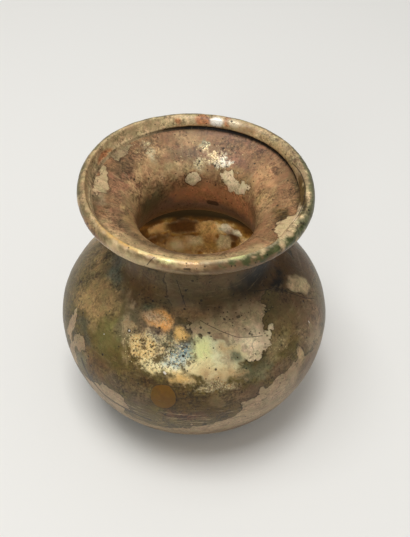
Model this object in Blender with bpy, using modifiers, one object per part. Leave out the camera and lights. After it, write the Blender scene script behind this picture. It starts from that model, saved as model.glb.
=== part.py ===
"""A free-blown ancient glass jar: a squat ball body, a pinched neck and a wide
funnel mouth whose edge is folded inward.

Metres, +Z up. The origin is the middle of the foot, on the surface that the
jar stands on, and -Y is the side it is usually looked at from.
"""

import math

import bpy
from mathutils import Vector

MM = 0.001

# Ball body, measured on its outer face: two half ellipses that meet at the widest ring
BODY_RADIUS = 35.0 * MM
WIDEST_HEIGHT = 24.8 * MM
LOWER_DEPTH = 32.5 * MM
SHOULDER_RISE = 22.7 * MM
# How far from the neck's radius towards the body's the shoulder's ellipse stops
SHOULDER_END_SHARE = 0.28

# Foot: a flat ring to stand on, round a shallow pushed-up middle
FOOT_RADIUS = 19.0 * MM
FOOT_RING_WIDTH = 5.0 * MM
FOOT_ROLL_HEIGHT = 2.7 * MM
KICK_HEIGHT = 1.3 * MM
KICK_FLATNESS = 0.6

# Neck and mouth: from the shoulder up to the waist, then up to the top of the rim
NECK_RADIUS = 16.3 * MM
NECK_LENGTH = 11.5 * MM
MOUTH_RISE = 12.9 * MM
RIM_RADIUS = 27.8 * MM
RIM_BEAD_RADIUS = 1.9 * MM
FUNNEL_END_SLOPE = math.radians(36)
CURVE_REACH = 0.4

# Rim: its edge is rolled in over the funnel, and overhangs a narrow groove
BEAD_START_ANGLE = math.radians(-78)
BEAD_END_ANGLE = math.radians(190)
GROOVE_DEPTH = 0.9 * MM
GROOVE_DROP = 0.45 * MM

# Wall thickness from the floor of the jar to its mouth
FLOOR_THICKNESS = 3.2 * MM
FOOT_WALL = 2.5 * MM
BODY_WALL = 1.8 * MM
NECK_WALL = 2.1 * MM
MOUTH_WALL = 1.2 * MM

# How far the hand-worked rim strays from a true circle and a level plane: each pair is the
# cosine and the sine size of one ripple round the rim
RIM_SHIFT = (-0.19 * MM, 0.07 * MM)
RIM_SQUASH = (-0.26 * MM, -0.05 * MM)
RIM_RADIUS_RIPPLE = (-0.04 * MM, 0.10 * MM)
RIM_TILT = (-0.23 * MM, 0.35 * MM)
RIM_SADDLE = (-0.20 * MM, -0.05 * MM)
RIM_HEIGHT_RIPPLE = (-0.02 * MM, 0.30 * MM)
RIM_FADE_POWER = 1.5

# Facets
TURN_STEPS = 60
KICK_POINTS = 3
ROLL_POINTS = 3
LOWER_BODY_POINTS = 7
UPPER_BODY_POINTS = 6
SHOULDER_POINTS = 5
FLARE_POINTS = 6
BEAD_POINTS = 9
MERGE_DISTANCE = 0.01 * MM
SHARP_ANGLE = math.radians(40)


def smooth_step(share):
    """0 before 0, 1 after 1, and a soft S between."""
    share = min(max(share, 0.0), 1.0)
    return share * share * (3.0 - 2.0 * share)


def bezier(start, control, end, count):
    """Points of a quadratic curve, without its start."""
    points = []
    for i in range(1, count + 1):
        t = i / count
        points.append(start * (1 - t) ** 2 + control * (2 * t * (1 - t)) + end * t**2)
    return points


def ease_between(start, start_way, end, end_way, count):
    """Points of a cubic curve that leaves and arrives along two unit directions, without its
    start."""
    reach = (end - start).length * CURVE_REACH
    first = start + start_way * reach
    second = end - end_way * reach
    points = []
    for i in range(1, count + 1):
        t = i / count
        near = start * (1 - t) ** 3 + first * (3 * t * (1 - t) ** 2)
        points.append(near + second * (3 * t**2 * (1 - t)) + end * t**3)
    return points


def direction(angle):
    return Vector((math.cos(angle), math.sin(angle)))


def lower_body_point(angle):
    """A point of the lower half, angle 0 at the widest ring and growing downward."""
    return Vector((BODY_RADIUS * math.cos(angle), WIDEST_HEIGHT - LOWER_DEPTH * math.sin(angle)))


def upper_body_point(angle):
    """A point of the upper half, angle 0 at the widest ring and growing upward."""
    return Vector((BODY_RADIUS * math.cos(angle), WIDEST_HEIGHT + SHOULDER_RISE * math.sin(angle)))


def foot():
    """From the middle of the kick out to the foot ring's edge."""
    ring_inside = FOOT_RADIUS - FOOT_RING_WIDTH
    middle = Vector((0.0, KICK_HEIGHT))
    shoulder = Vector((ring_inside * KICK_FLATNESS, KICK_HEIGHT))
    kick = bezier(middle, shoulder, Vector((ring_inside, 0.0)), KICK_POINTS)
    return [middle] + kick + [Vector((FOOT_RADIUS, 0.0))]


def lower_body(ring_edge):
    """The roll from the foot ring into the ball, then the ball up to its widest ring."""
    turn = math.asin((WIDEST_HEIGHT - FOOT_ROLL_HEIGHT) / LOWER_DEPTH)
    roll_end = lower_body_point(turn)
    steepness = LOWER_DEPTH * math.cos(turn) / (BODY_RADIUS * math.sin(turn))
    corner_radius = max(roll_end.x - roll_end.y / steepness, ring_edge.x)
    roll = bezier(ring_edge, Vector((corner_radius, 0.0)), roll_end, ROLL_POINTS)
    count = LOWER_BODY_POINTS
    ball = [lower_body_point(turn * i / count) for i in range(count - 1, -1, -1)]
    return roll + ball


def upper_body():
    """The ball above its widest ring, up to where the shoulder starts to turn to the neck, and
    the direction it ends in."""
    join_radius = NECK_RADIUS + SHOULDER_END_SHARE * (BODY_RADIUS - NECK_RADIUS)
    join = math.acos(join_radius / BODY_RADIUS)
    count = UPPER_BODY_POINTS
    ball = [upper_body_point(join * i / count) for i in range(1, count + 1)]
    way = Vector((-BODY_RADIUS * math.sin(join), SHOULDER_RISE * math.cos(join))).normalized()
    return ball, way


def bead_point(centre, angle):
    return centre + direction(angle) * RIM_BEAD_RADIUS


def wall_thicknesses(count, stations):
    """The wall's thickness at each point, blended softly between stations of (index, thickness)."""
    thicknesses = []
    for i in range(count):
        for (low, low_wall), (high, high_wall) in zip(stations, stations[1:]):
            if i <= high:
                share = smooth_step((i - low) / (high - low))
                thicknesses.append(low_wall + (high_wall - low_wall) * share)
                break
    return thicknesses


def inner_wall(outside, thicknesses):
    """The inside of the jar, set in from the outside by the wall's thickness at each point."""
    points = [outside[0] + Vector((0.0, thicknesses[0]))]
    for i in range(1, len(outside)):
        after = outside[min(i + 1, len(outside) - 1)]
        along = (after - outside[i - 1]).normalized()
        points.append(outside[i] + Vector((-along.y, along.x)) * thicknesses[i])
    return points


def jar_profile():
    """The wall's profile as (radius, height) points: from the middle of the inner floor up the
    inside, over the rim and down the outside to the middle of the foot. Also the waist's and the
    rim bead's heights."""
    outside = foot()
    outside += lower_body(outside[-1])
    stations = [(0, FLOOR_THICKNESS), (len(outside) - 1 - LOWER_BODY_POINTS, FOOT_WALL)]
    stations.append((len(outside) - 1, BODY_WALL))
    ball, way = upper_body()
    outside += ball
    waist = Vector((NECK_RADIUS, outside[-1].y + NECK_LENGTH))
    upward = Vector((0.0, 1.0))
    outside += ease_between(outside[-1], way, waist, upward, SHOULDER_POINTS)
    stations.append((len(outside) - 1, NECK_WALL))
    bead_centre = Vector((RIM_RADIUS - RIM_BEAD_RADIUS, waist.y + MOUTH_RISE - RIM_BEAD_RADIUS))
    under_rim = bead_point(bead_centre, BEAD_START_ANGLE)
    outside += ease_between(waist, upward, under_rim, direction(FUNNEL_END_SLOPE), FLARE_POINTS)
    stations.append((len(outside) - 1, MOUTH_WALL))
    bead_turn = (BEAD_END_ANGLE - BEAD_START_ANGLE) / BEAD_POINTS
    bead = [bead_point(bead_centre, BEAD_END_ANGLE - bead_turn * i) for i in range(BEAD_POINTS)]
    groove = bead[0] + Vector((GROOVE_DEPTH, -GROOVE_DROP))
    inside = inner_wall(outside, wall_thicknesses(len(outside), stations))
    inside = [place for place in inside if place.y < waist.y or place.x < groove.x - GROOVE_DROP]
    return inside + [groove] + bead + outside[::-1], waist.y, bead_centre.y


def ripple(sizes, turns, azimuth):
    """One ripple round the rim, from its cosine and sine sizes."""
    return sizes[0] * math.cos(turns * azimuth) + sizes[1] * math.sin(turns * azimuth)


def work_rim_by_hand(mesh, waist_height, bead_height):
    """Moves the mouth off a true circle and level, fading out at the neck's waist."""
    for vertex in mesh.vertices:
        share = (vertex.co.z - waist_height) / (bead_height - waist_height)
        if share <= 0.0:
            continue
        share = min(share, 1.0) ** RIM_FADE_POWER
        azimuth = math.atan2(vertex.co.y, vertex.co.x)
        spread = ripple(RIM_SHIFT, 1, azimuth) + ripple(RIM_SQUASH, 2, azimuth)
        spread += ripple(RIM_RADIUS_RIPPLE, 3, azimuth)
        lift = ripple(RIM_TILT, 1, azimuth) + ripple(RIM_SADDLE, 2, azimuth)
        lift += ripple(RIM_HEIGHT_RIPPLE, 3, azimuth)
        outward = direction(azimuth)
        vertex.co += Vector((outward.x * spread, outward.y * spread, lift)) * share


def new_collection(name):
    collection = bpy.data.collections.new(name)
    bpy.context.scene.collection.children.link(collection)
    return collection


def weathered_glass():
    """Honey glass under a buff and mauve weathering crust, as one plain colour."""
    material = bpy.data.materials.new("weathered_glass")
    material.use_nodes = True
    shader = material.node_tree.nodes["Principled BSDF"]
    shader.inputs["Base Color"].default_value = (0.30, 0.23, 0.14, 1.0)
    shader.inputs["Roughness"].default_value = 0.35
    shader.inputs["Metallic"].default_value = 0.15
    return material


def turned_mesh(points, collection):
    """The mesh that the profile makes when it is turned once round the Z axis."""
    profile = bpy.data.meshes.new("jar_profile")
    edges = [(i, i + 1) for i in range(len(points) - 1)]
    profile.from_pydata([(place.x, 0.0, place.y) for place in points], edges, [])
    turning = bpy.data.objects.new("turning", profile)
    collection.objects.link(turning)
    screw = turning.modifiers.new("turn", "SCREW")
    screw.axis = "Z"
    screw.angle = math.tau
    screw.steps = TURN_STEPS
    screw.render_steps = TURN_STEPS
    screw.use_merge_vertices = True
    screw.merge_threshold = MERGE_DISTANCE
    screw.use_smooth_shade = True
    mesh = bpy.data.meshes.new_from_object(turning.evaluated_get(bpy.context.evaluated_depsgraph_get()))
    bpy.data.objects.remove(turning)
    return mesh


def make_jar(collection):
    """The jar, turned from its profile and then worked at the rim."""
    points, waist_height, bead_height = jar_profile()
    mesh = turned_mesh(points, collection)
    mesh.name = "vase"
    work_rim_by_hand(mesh, waist_height, bead_height)
    mesh.set_sharp_from_angle(angle=SHARP_ANGLE)
    mesh.materials.clear()
    mesh.materials.append(weathered_glass())
    collection.objects.link(bpy.data.objects.new("vase", mesh))


def main():
    for old in list(bpy.data.objects):
        bpy.data.objects.remove(old)
    make_jar(new_collection("glass_ball_vase"))


main()
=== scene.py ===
"""Dresses a small ancient blown-glass jar: its wall as a fine mesh with the waves, flakes and
pits of old glass, its weathering crust with iridescent patches, a pale floor, soft light and
the camera.

Metres, +Z up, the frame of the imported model. Azimuths are in degrees, seen from above, with
-90 at the side nearest to the camera.
"""

from __future__ import annotations

import logging
import math
from dataclasses import dataclass, field
from enum import Enum

import bmesh
import bpy
import numpy as np
from mathutils import Matrix, Vector, noise

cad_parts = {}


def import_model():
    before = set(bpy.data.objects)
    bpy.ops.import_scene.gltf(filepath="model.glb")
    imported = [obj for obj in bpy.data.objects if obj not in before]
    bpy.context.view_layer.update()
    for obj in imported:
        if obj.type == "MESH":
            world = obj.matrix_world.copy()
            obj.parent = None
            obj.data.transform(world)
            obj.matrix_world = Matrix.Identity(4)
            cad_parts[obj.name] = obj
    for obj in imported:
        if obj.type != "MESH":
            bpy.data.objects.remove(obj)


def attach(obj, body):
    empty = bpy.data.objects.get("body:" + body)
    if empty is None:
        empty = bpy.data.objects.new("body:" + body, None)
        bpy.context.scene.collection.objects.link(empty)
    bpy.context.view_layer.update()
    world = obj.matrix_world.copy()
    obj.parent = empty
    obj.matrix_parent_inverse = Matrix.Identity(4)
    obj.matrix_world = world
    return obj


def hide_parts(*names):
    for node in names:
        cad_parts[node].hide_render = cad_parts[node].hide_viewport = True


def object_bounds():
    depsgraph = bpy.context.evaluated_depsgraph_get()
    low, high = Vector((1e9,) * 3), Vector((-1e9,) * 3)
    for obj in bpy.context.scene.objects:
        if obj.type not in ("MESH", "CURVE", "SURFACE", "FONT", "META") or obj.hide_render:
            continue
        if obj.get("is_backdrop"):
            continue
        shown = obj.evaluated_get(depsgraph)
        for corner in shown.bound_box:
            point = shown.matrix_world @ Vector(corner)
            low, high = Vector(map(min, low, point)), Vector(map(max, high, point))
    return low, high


MM = 0.001
FRAME_SIZE = (410, 537)
NODE = "vase"
BODY = "root"
CURVE_STEPS = 60
BEND_STEPS = 40
WELD_DISTANCE = 0.001 * MM

Place = tuple[float, float]
Colour = tuple[float, float, float, float]
Socket = bpy.types.NodeSocket
Value = Socket | float | tuple

log = logging.getLogger("glass_jar")


def srgb(red: float, green: float, blue: float) -> Colour:
    """Turns a screen colour into the linear colour that shaders use.

    Args:
        red: 0 to 255, as are green and blue.

    Returns:
        The linear colour with an alpha of 1.
    """
    linear = []
    for value in (red / 255, green / 255, blue / 255):
        linear.append(value / 12.92 if value <= 0.04045 else ((value + 0.055) / 1.055) ** 2.4)
    return (*linear, 1.0)


class Shade(Enum):
    """The colours that the weathered glass shows."""

    OLIVE = srgb(95, 81, 42)
    OLIVE_TAN = srgb(108, 93, 61)
    OLIVE_UMBER = srgb(109, 91, 58)
    GREEN_GOLD = srgb(111, 102, 59)
    GREEN_GOLD_DARK = srgb(139, 123, 86)
    SLATE = srgb(78, 73, 50)
    SLATE_GREEN = srgb(100, 94, 67)
    BLUE_SLATE = srgb(92, 92, 76)
    TEAL = srgb(99, 101, 72)
    DEEP_TEAL = srgb(82, 79, 49)
    SMOKE = srgb(91, 65, 29)
    SMOKE_GREY = srgb(115, 106, 77)
    UMBER = srgb(83, 64, 32)
    UMBER_GREY = srgb(94, 78, 48)
    # Near-black brown: a dark mark on the rim's outer left side, painted shadow under the rim at the right,
    # and painted shade in the upper inside of the ball.
    SOOT = srgb(32, 26, 15)
    PURPLE_BROWN = srgb(102, 77, 43)
    LAVENDER = srgb(93, 77, 54)
    MAUVE = srgb(99, 78, 53)
    MAUVE_GREY = srgb(118, 96, 69)
    MAUVE_SMOKE = srgb(99, 77, 51)
    DARK_AMBER = srgb(80, 61, 26)
    DARK_RED = srgb(98, 66, 42)
    TAN = srgb(140, 117, 77)
    PALE_TAN = srgb(174, 150, 111)
    PINK_TAN = srgb(164, 134, 93)
    BUFF = srgb(151, 131, 100)
    PINK_BUFF = srgb(164, 142, 113)
    ENAMEL = srgb(190, 168, 130)
    ENAMEL_LIGHT = srgb(229, 210, 175)
    CREAM = srgb(200, 178, 138)
    PALE_CREAM = srgb(220, 200, 164)
    HONEY = srgb(209, 164, 92)
    GOLD = srgb(242, 194, 111)
    WHITE_GOLD = srgb(252, 233, 170)
    GREY_SPARK = srgb(186, 176, 146)
    ORANGE = srgb(252, 171, 75)
    PALE_ORANGE = srgb(196, 152, 108)
    HONEY_BROWN = srgb(142, 114, 74)
    BRIGHT_ORANGE = srgb(252, 198, 106)
    BLUE = srgb(98, 144, 156)
    DEEP_BLUE = srgb(95, 137, 158)
    BLUE_WHITE = srgb(212, 229, 220)
    PEARL_GREEN = srgb(250, 250, 170)
    PEARL = srgb(248, 244, 192)
    PEARL_YELLOW = srgb(236, 214, 156)
    PEARL_PEACH = srgb(206, 166, 112)
    PEARL_BROWN = srgb(138, 106, 67)
    ROSE = srgb(180, 140, 99)
    RED_BROWN = srgb(193, 136, 94)
    FUNNEL_BROWN = srgb(142, 108, 76)
    FUNNEL_PURPLE = srgb(137, 100, 74)
    FUNNEL_TAN = srgb(166, 136, 98)
    THROAT = srgb(145, 118, 101)
    AMBER = srgb(106, 74, 16)
    AMBER_HONEY = srgb(174, 136, 82)
    AMBER_BROWN = srgb(128, 94, 48)
    AMBER_DARK = srgb(68, 40, 16)
    FLOOR_BUFF = srgb(160, 140, 102)
    FLOOR_WHITE = srgb(208, 194, 164)
    MOSS = srgb(72, 77, 45)
    MOSS_GREY = srgb(103, 103, 76)
    WHITE = srgb(244, 238, 226)
    GRIME = srgb(30, 24, 16)


class Side(Enum):
    """The stretches of the jar's surface, in the order that its profile runs."""

    INSIDE = 0
    GROOVE = 1
    RIM = 2
    OUTSIDE = 3


class Layer(Enum):
    """What a patch of weathering is made of. The last four only set how strong an effect is."""

    TONE = "tone"
    SHEET = "sheet"
    FLAKE = "flake"
    BARE = "bare"
    GRIT = "grit"
    SPARKLE = "sparkle"
    PITTING = "pitting"
    STREAK = "streak"


def smooth_step(low: float, high: float, value: np.ndarray) -> np.ndarray:
    """Returns 0 below low, 1 above high, and a soft S between."""
    share = np.clip((value - low) / (high - low), 0.0, 1.0)
    return share * share * (3.0 - 2.0 * share)


def direction(angle: float) -> np.ndarray:
    """Returns the unit (radius, height) vector at an angle in radians."""
    return np.array([math.cos(angle), math.sin(angle)])


def ease_between(
    start: np.ndarray, start_way: np.ndarray, end: np.ndarray, end_way: np.ndarray, reach: float
) -> np.ndarray:
    """Draws a cubic curve that leaves and arrives along two unit directions.

    Args:
        start: Its first point, as (radius, height).
        start_way: The direction it leaves in.
        end: Its last point.
        end_way: The direction it arrives in.
        reach: How far each direction holds, as a share of the distance between the points.

    Returns:
        The curve's points, one in each row.
    """
    hold = float(np.linalg.norm(end - start)) * reach
    first = start + start_way * hold
    second = end - end_way * hold
    t = np.linspace(0.0, 1.0, CURVE_STEPS)[:, None]
    near = start * (1 - t) ** 3 + first * (3 * t * (1 - t) ** 2)
    return near + second * (3 * t**2 * (1 - t)) + end * t**3


@dataclass(frozen=True)
class JarShape:
    """The jar's profile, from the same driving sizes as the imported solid."""

    body_radius: float = 35.0 * MM
    widest_height: float = 24.8 * MM
    lower_depth: float = 32.5 * MM
    shoulder_rise: float = 22.7 * MM
    shoulder_end_share: float = 0.28
    foot_radius: float = 19.0 * MM
    foot_ring_width: float = 5.0 * MM
    foot_roll_height: float = 2.7 * MM
    kick_height: float = 1.3 * MM
    kick_flatness: float = 0.6
    neck_radius: float = 16.3 * MM
    neck_length: float = 11.5 * MM
    mouth_rise: float = 12.9 * MM
    rim_radius: float = 27.8 * MM
    bead_radius: float = 1.9 * MM
    funnel_end_slope: float = math.radians(36)
    curve_reach: float = 0.4
    bead_start_angle: float = math.radians(-78)
    bead_end_angle: float = math.radians(190)
    groove_depth: float = 0.9 * MM
    groove_drop: float = 0.45 * MM
    floor_thickness: float = 3.2 * MM
    foot_wall: float = 2.5 * MM
    body_wall: float = 1.8 * MM
    neck_wall: float = 2.1 * MM
    mouth_wall: float = 1.2 * MM
    lower_steps: int = 120
    shoulder_steps: int = 90

    @property
    def join_angle(self) -> float:
        """The angle on the upper ellipse where the shoulder begins to turn to the neck."""
        join = self.neck_radius + self.shoulder_end_share * (self.body_radius - self.neck_radius)
        return math.acos(join / self.body_radius)

    @property
    def waist_height(self) -> float:
        """The height of the neck's narrowest ring."""
        return self.widest_height + self.shoulder_rise * math.sin(self.join_angle) + self.neck_length

    @property
    def bead_centre(self) -> np.ndarray:
        """The middle of the rolled rim, as (radius, height)."""
        height = self.waist_height + self.mouth_rise - self.bead_radius
        return np.array([self.rim_radius - self.bead_radius, height])

    def outside(self) -> np.ndarray:
        """Draws the outer face from the middle of the foot up to under the rim.

        Returns:
            Its points as (radius, height) rows.
        """
        ring_inside = np.array([self.foot_radius - self.foot_ring_width, 0.0])
        middle = np.array([0.0, self.kick_height])
        shoulder = np.array([ring_inside[0] * self.kick_flatness, self.kick_height])
        ring_edge = np.array([self.foot_radius, 0.0])
        turn = math.asin((self.widest_height - self.foot_roll_height) / self.lower_depth)
        low = self.arc(np.linspace(turn, 0.0, self.lower_steps), -self.lower_depth)
        steepness = self.lower_depth * math.cos(turn) / (self.body_radius * math.sin(turn))
        corner = np.array([low[0, 0] - low[0, 1] / steepness, 0.0])
        top = self.arc(np.linspace(0.0, self.join_angle, self.shoulder_steps), self.shoulder_rise)
        way = top[-1] - top[-2]
        way = way / np.linalg.norm(way)
        waist = np.array([self.neck_radius, self.waist_height])
        upward = np.array([0.0, 1.0])
        neck = ease_between(top[-1], way, waist, upward, self.curve_reach)
        under_rim = self.bead_centre + direction(self.bead_start_angle) * self.bead_radius
        flare = ease_between(waist, upward, under_rim, direction(self.funnel_end_slope), self.curve_reach)
        kick = self.bend(middle, shoulder, ring_inside)
        roll = self.bend(ring_edge, corner, low[0])
        return np.vstack([kick, ring_edge[None], roll[1:], low[1:], top[1:], neck[1:], flare[1:]])

    def arc(self, angles: np.ndarray, rise: float) -> np.ndarray:
        """Returns the ball's points at angles from its widest ring, up or down by an ellipse."""
        return np.stack([np.cos(angles) * self.body_radius, self.widest_height + np.sin(angles) * rise], 1)

    @staticmethod
    def bend(start: np.ndarray, control: np.ndarray, end: np.ndarray) -> np.ndarray:
        """Returns the points of a quadratic curve."""
        t = np.linspace(0.0, 1.0, BEND_STEPS)[:, None]
        return start * (1 - t) ** 2 + control * (2 * t * (1 - t)) + end * t**2

    def inside(self, outside: np.ndarray) -> np.ndarray:
        """Sets the inner face in from the outer one by the wall's thickness.

        Args:
            outside: The outer face's points, from the foot's middle upward.

        Returns:
            The inner face's points, from the floor's middle upward.
        """
        along = np.gradient(outside, axis=0)
        along /= np.linalg.norm(along, axis=1)[:, None]
        inward = np.stack([-along[:, 1], along[:, 0]], 1)
        inward[0] = (0.0, 1.0)
        run = np.concatenate([[0.0], np.cumsum(np.linalg.norm(np.diff(outside, axis=0), axis=1))])
        above = outside[:, 0] > self.foot_radius
        marks = [
            0.0,
            run[np.argmax(above & (outside[:, 1] >= self.foot_roll_height))],
            run[np.argmax(above & (outside[:, 1] >= self.widest_height))],
            run[np.argmax(outside[:, 1] >= self.waist_height)],
            run[-1],
        ]
        walls = [self.floor_thickness, self.foot_wall, self.body_wall, self.neck_wall, self.mouth_wall]
        thickness = np.zeros(len(run))
        for low, high, low_wall, high_wall in zip(marks, marks[1:], walls, walls[1:]):
            here = (run >= low) & (run <= high)
            share = smooth_step(low, high, run[here])
            thickness[here] = low_wall + (high_wall - low_wall) * share
        return outside + inward * thickness[:, None]


@dataclass(frozen=True)
class RimWaves:
    """How far the hand-worked rim strays from a true circle and a level plane. Each pair is the
    cosine and the sine size of one ripple round the rim."""

    shift: tuple[float, float] = (-0.19 * MM, 0.07 * MM)
    squash: tuple[float, float] = (-0.26 * MM, -0.05 * MM)
    radius_ripple: tuple[float, float] = (-0.04 * MM, 0.10 * MM)
    tilt: tuple[float, float] = (-0.23 * MM, 0.35 * MM)
    saddle: tuple[float, float] = (-0.20 * MM, -0.05 * MM)
    height_ripple: tuple[float, float] = (-0.02 * MM, 0.30 * MM)
    fade_power: float = 1.5

    @staticmethod
    def ripple(sizes: tuple[float, float], turns: int, azimuth: np.ndarray) -> np.ndarray:
        """Returns one ripple's offset at each azimuth in radians."""
        return sizes[0] * np.cos(turns * azimuth) + sizes[1] * np.sin(turns * azimuth)

    def spread(self, azimuth: np.ndarray) -> np.ndarray:
        """Returns how far the rim moves outward at each azimuth."""
        first = self.ripple(self.shift, 1, azimuth) + self.ripple(self.squash, 2, azimuth)
        return first + self.ripple(self.radius_ripple, 3, azimuth)

    def lift(self, azimuth: np.ndarray) -> np.ndarray:
        """Returns how far the rim moves up at each azimuth."""
        first = self.ripple(self.tilt, 1, azimuth) + self.ripple(self.saddle, 2, azimuth)
        return first + self.ripple(self.height_ripple, 3, azimuth)


@dataclass(frozen=True)
class Patch:
    """One patch of weathering, an ellipse on the unrolled wall or an outline of its own.

    Azimuths are in degrees and lengths in millimetres. On the rim, height is the angle round its
    roll in degrees: 180 at its inner side, 90 at its top, 0 at its outer side. In the groove, it
    runs from 0 to 1.
    """

    name: str
    layer: Layer
    side: Side
    azimuth: float
    height: float
    wide: float = 3.0
    tall: float = 3.0
    shade: Shade = Shade.BUFF
    soft: float = 0.5
    stray: float = 0.6
    turn: float = 0.0
    strength: float = 1.0
    outline: tuple[Place, ...] = ()


@dataclass(frozen=True)
class Mark:
    """A thin line or a small dot on the skin, through places given as (azimuth, height)."""

    name: str
    side: Side
    places: tuple[Place, ...]
    width: float = 0.16
    light: bool = False


@dataclass
class Surface:
    """The unrolled jar: where each vertex of the fine mesh lies, in degrees and millimetres."""

    azimuth: np.ndarray
    radius: np.ndarray
    run: np.ndarray
    side: np.ndarray
    points: np.ndarray
    side_tables: dict[Side, tuple[np.ndarray, np.ndarray, np.ndarray]] = field(default_factory=dict)
    waves: dict[float, np.ndarray] = field(default_factory=dict)
    fine_wander: float = 2.2
    middle_wander: float = 4.5
    broad_wander: float = 9.0
    small_patch: float = 3.5
    off_the_side: float = -99.0
    wander_octaves: int = 4
    wander_fall: float = 0.8
    wander_step: float = 2.1
    wander_gain: float = 1.5
    wander_limit: float = 1.2

    def place(self, side: Side, height: float) -> tuple[float, float]:
        """Finds a height on one side.

        Args:
            side: Which stretch of the wall.
            height: In millimetres, or the roll's angle in degrees on the rim.

        Returns:
            The distance along the profile and the radius there, in millimetres.
        """
        heights, runs, radii = self.side_tables[side]
        return float(np.interp(height, heights, runs)), float(np.interp(height, heights, radii))

    def wander(self, size: float) -> np.ndarray:
        """Returns fractal noise of about -1 to 1 at each vertex, with features of a size in mm."""
        if size not in self.waves:
            scale = 1.0 / size
            manner = (self.wander_fall, self.wander_step, self.wander_octaves)
            values = [noise.fractal(Vector(point) * scale, *manner) for point in self.points.tolist()]
            limit = self.wander_limit
            self.waves[size] = np.clip(np.array(values) * self.wander_gain, -limit, limit)
        return self.waves[size]

    def local(self, patch: Patch) -> tuple[np.ndarray, np.ndarray]:
        """Returns each vertex's place round and along the wall from a patch's middle, in mm."""
        run, _ = self.place(patch.side, patch.height)
        turn = (self.azimuth - patch.azimuth + 180.0) % 360.0 - 180.0
        round_wall = np.radians(turn) * self.radius
        return round_wall, self.run - run

    def depth(self, patch: Patch) -> np.ndarray:
        """Measures how deep inside a patch each vertex lies.

        Args:
            patch: The patch.

        Returns:
            The distance to its wandering edge in millimetres, below zero outside it.
        """
        across, along = self.local(patch)
        if patch.outline:
            deep = self.outline_depth(patch, across, along)
        else:
            turn = math.radians(patch.turn)
            first = (across * math.cos(turn) + along * math.sin(turn)) / patch.wide
            second = (along * math.cos(turn) - across * math.sin(turn)) / patch.tall
            deep = (1.0 - np.hypot(first, second)) * min(patch.wide, patch.tall)
        size = self.fine_wander if min(patch.wide, patch.tall) < self.small_patch else self.middle_wander
        deep = deep + self.wander(size) * patch.stray
        return np.where(self.side == patch.side.value, deep, self.off_the_side)

    def outline_depth(self, patch: Patch, across: np.ndarray, along: np.ndarray) -> np.ndarray:
        """Returns the signed distance in mm to a patch's own outline, positive inside it."""
        middle, _ = self.place(patch.side, patch.height)
        corners = []
        for azimuth, height in patch.outline:
            run, radius = self.place(patch.side, height)
            corners.append((math.radians(azimuth - patch.azimuth) * radius, run - middle))
        within = np.zeros(across.shape, bool)
        nearest = np.full(across.shape, 1e9)
        for (x0, y0), (x1, y1) in zip(corners, corners[1:] + corners[:1]):
            crosses = (y0 > along) != (y1 > along)
            rise = y1 - y0 if abs(y1 - y0) > 1e-9 else 1e-9
            within ^= crosses & (across < (x1 - x0) * (along - y0) / rise + x0)
            length = max((x1 - x0) ** 2 + (y1 - y0) ** 2, 1e-9)
            share = np.clip(((across - x0) * (x1 - x0) + (along - y0) * (y1 - y0)) / length, 0.0, 1.0)
            gap = np.hypot(across - x0 - share * (x1 - x0), along - y0 - share * (y1 - y0))
            nearest = np.minimum(nearest, gap)
        return np.where(within, nearest, -nearest)


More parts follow.
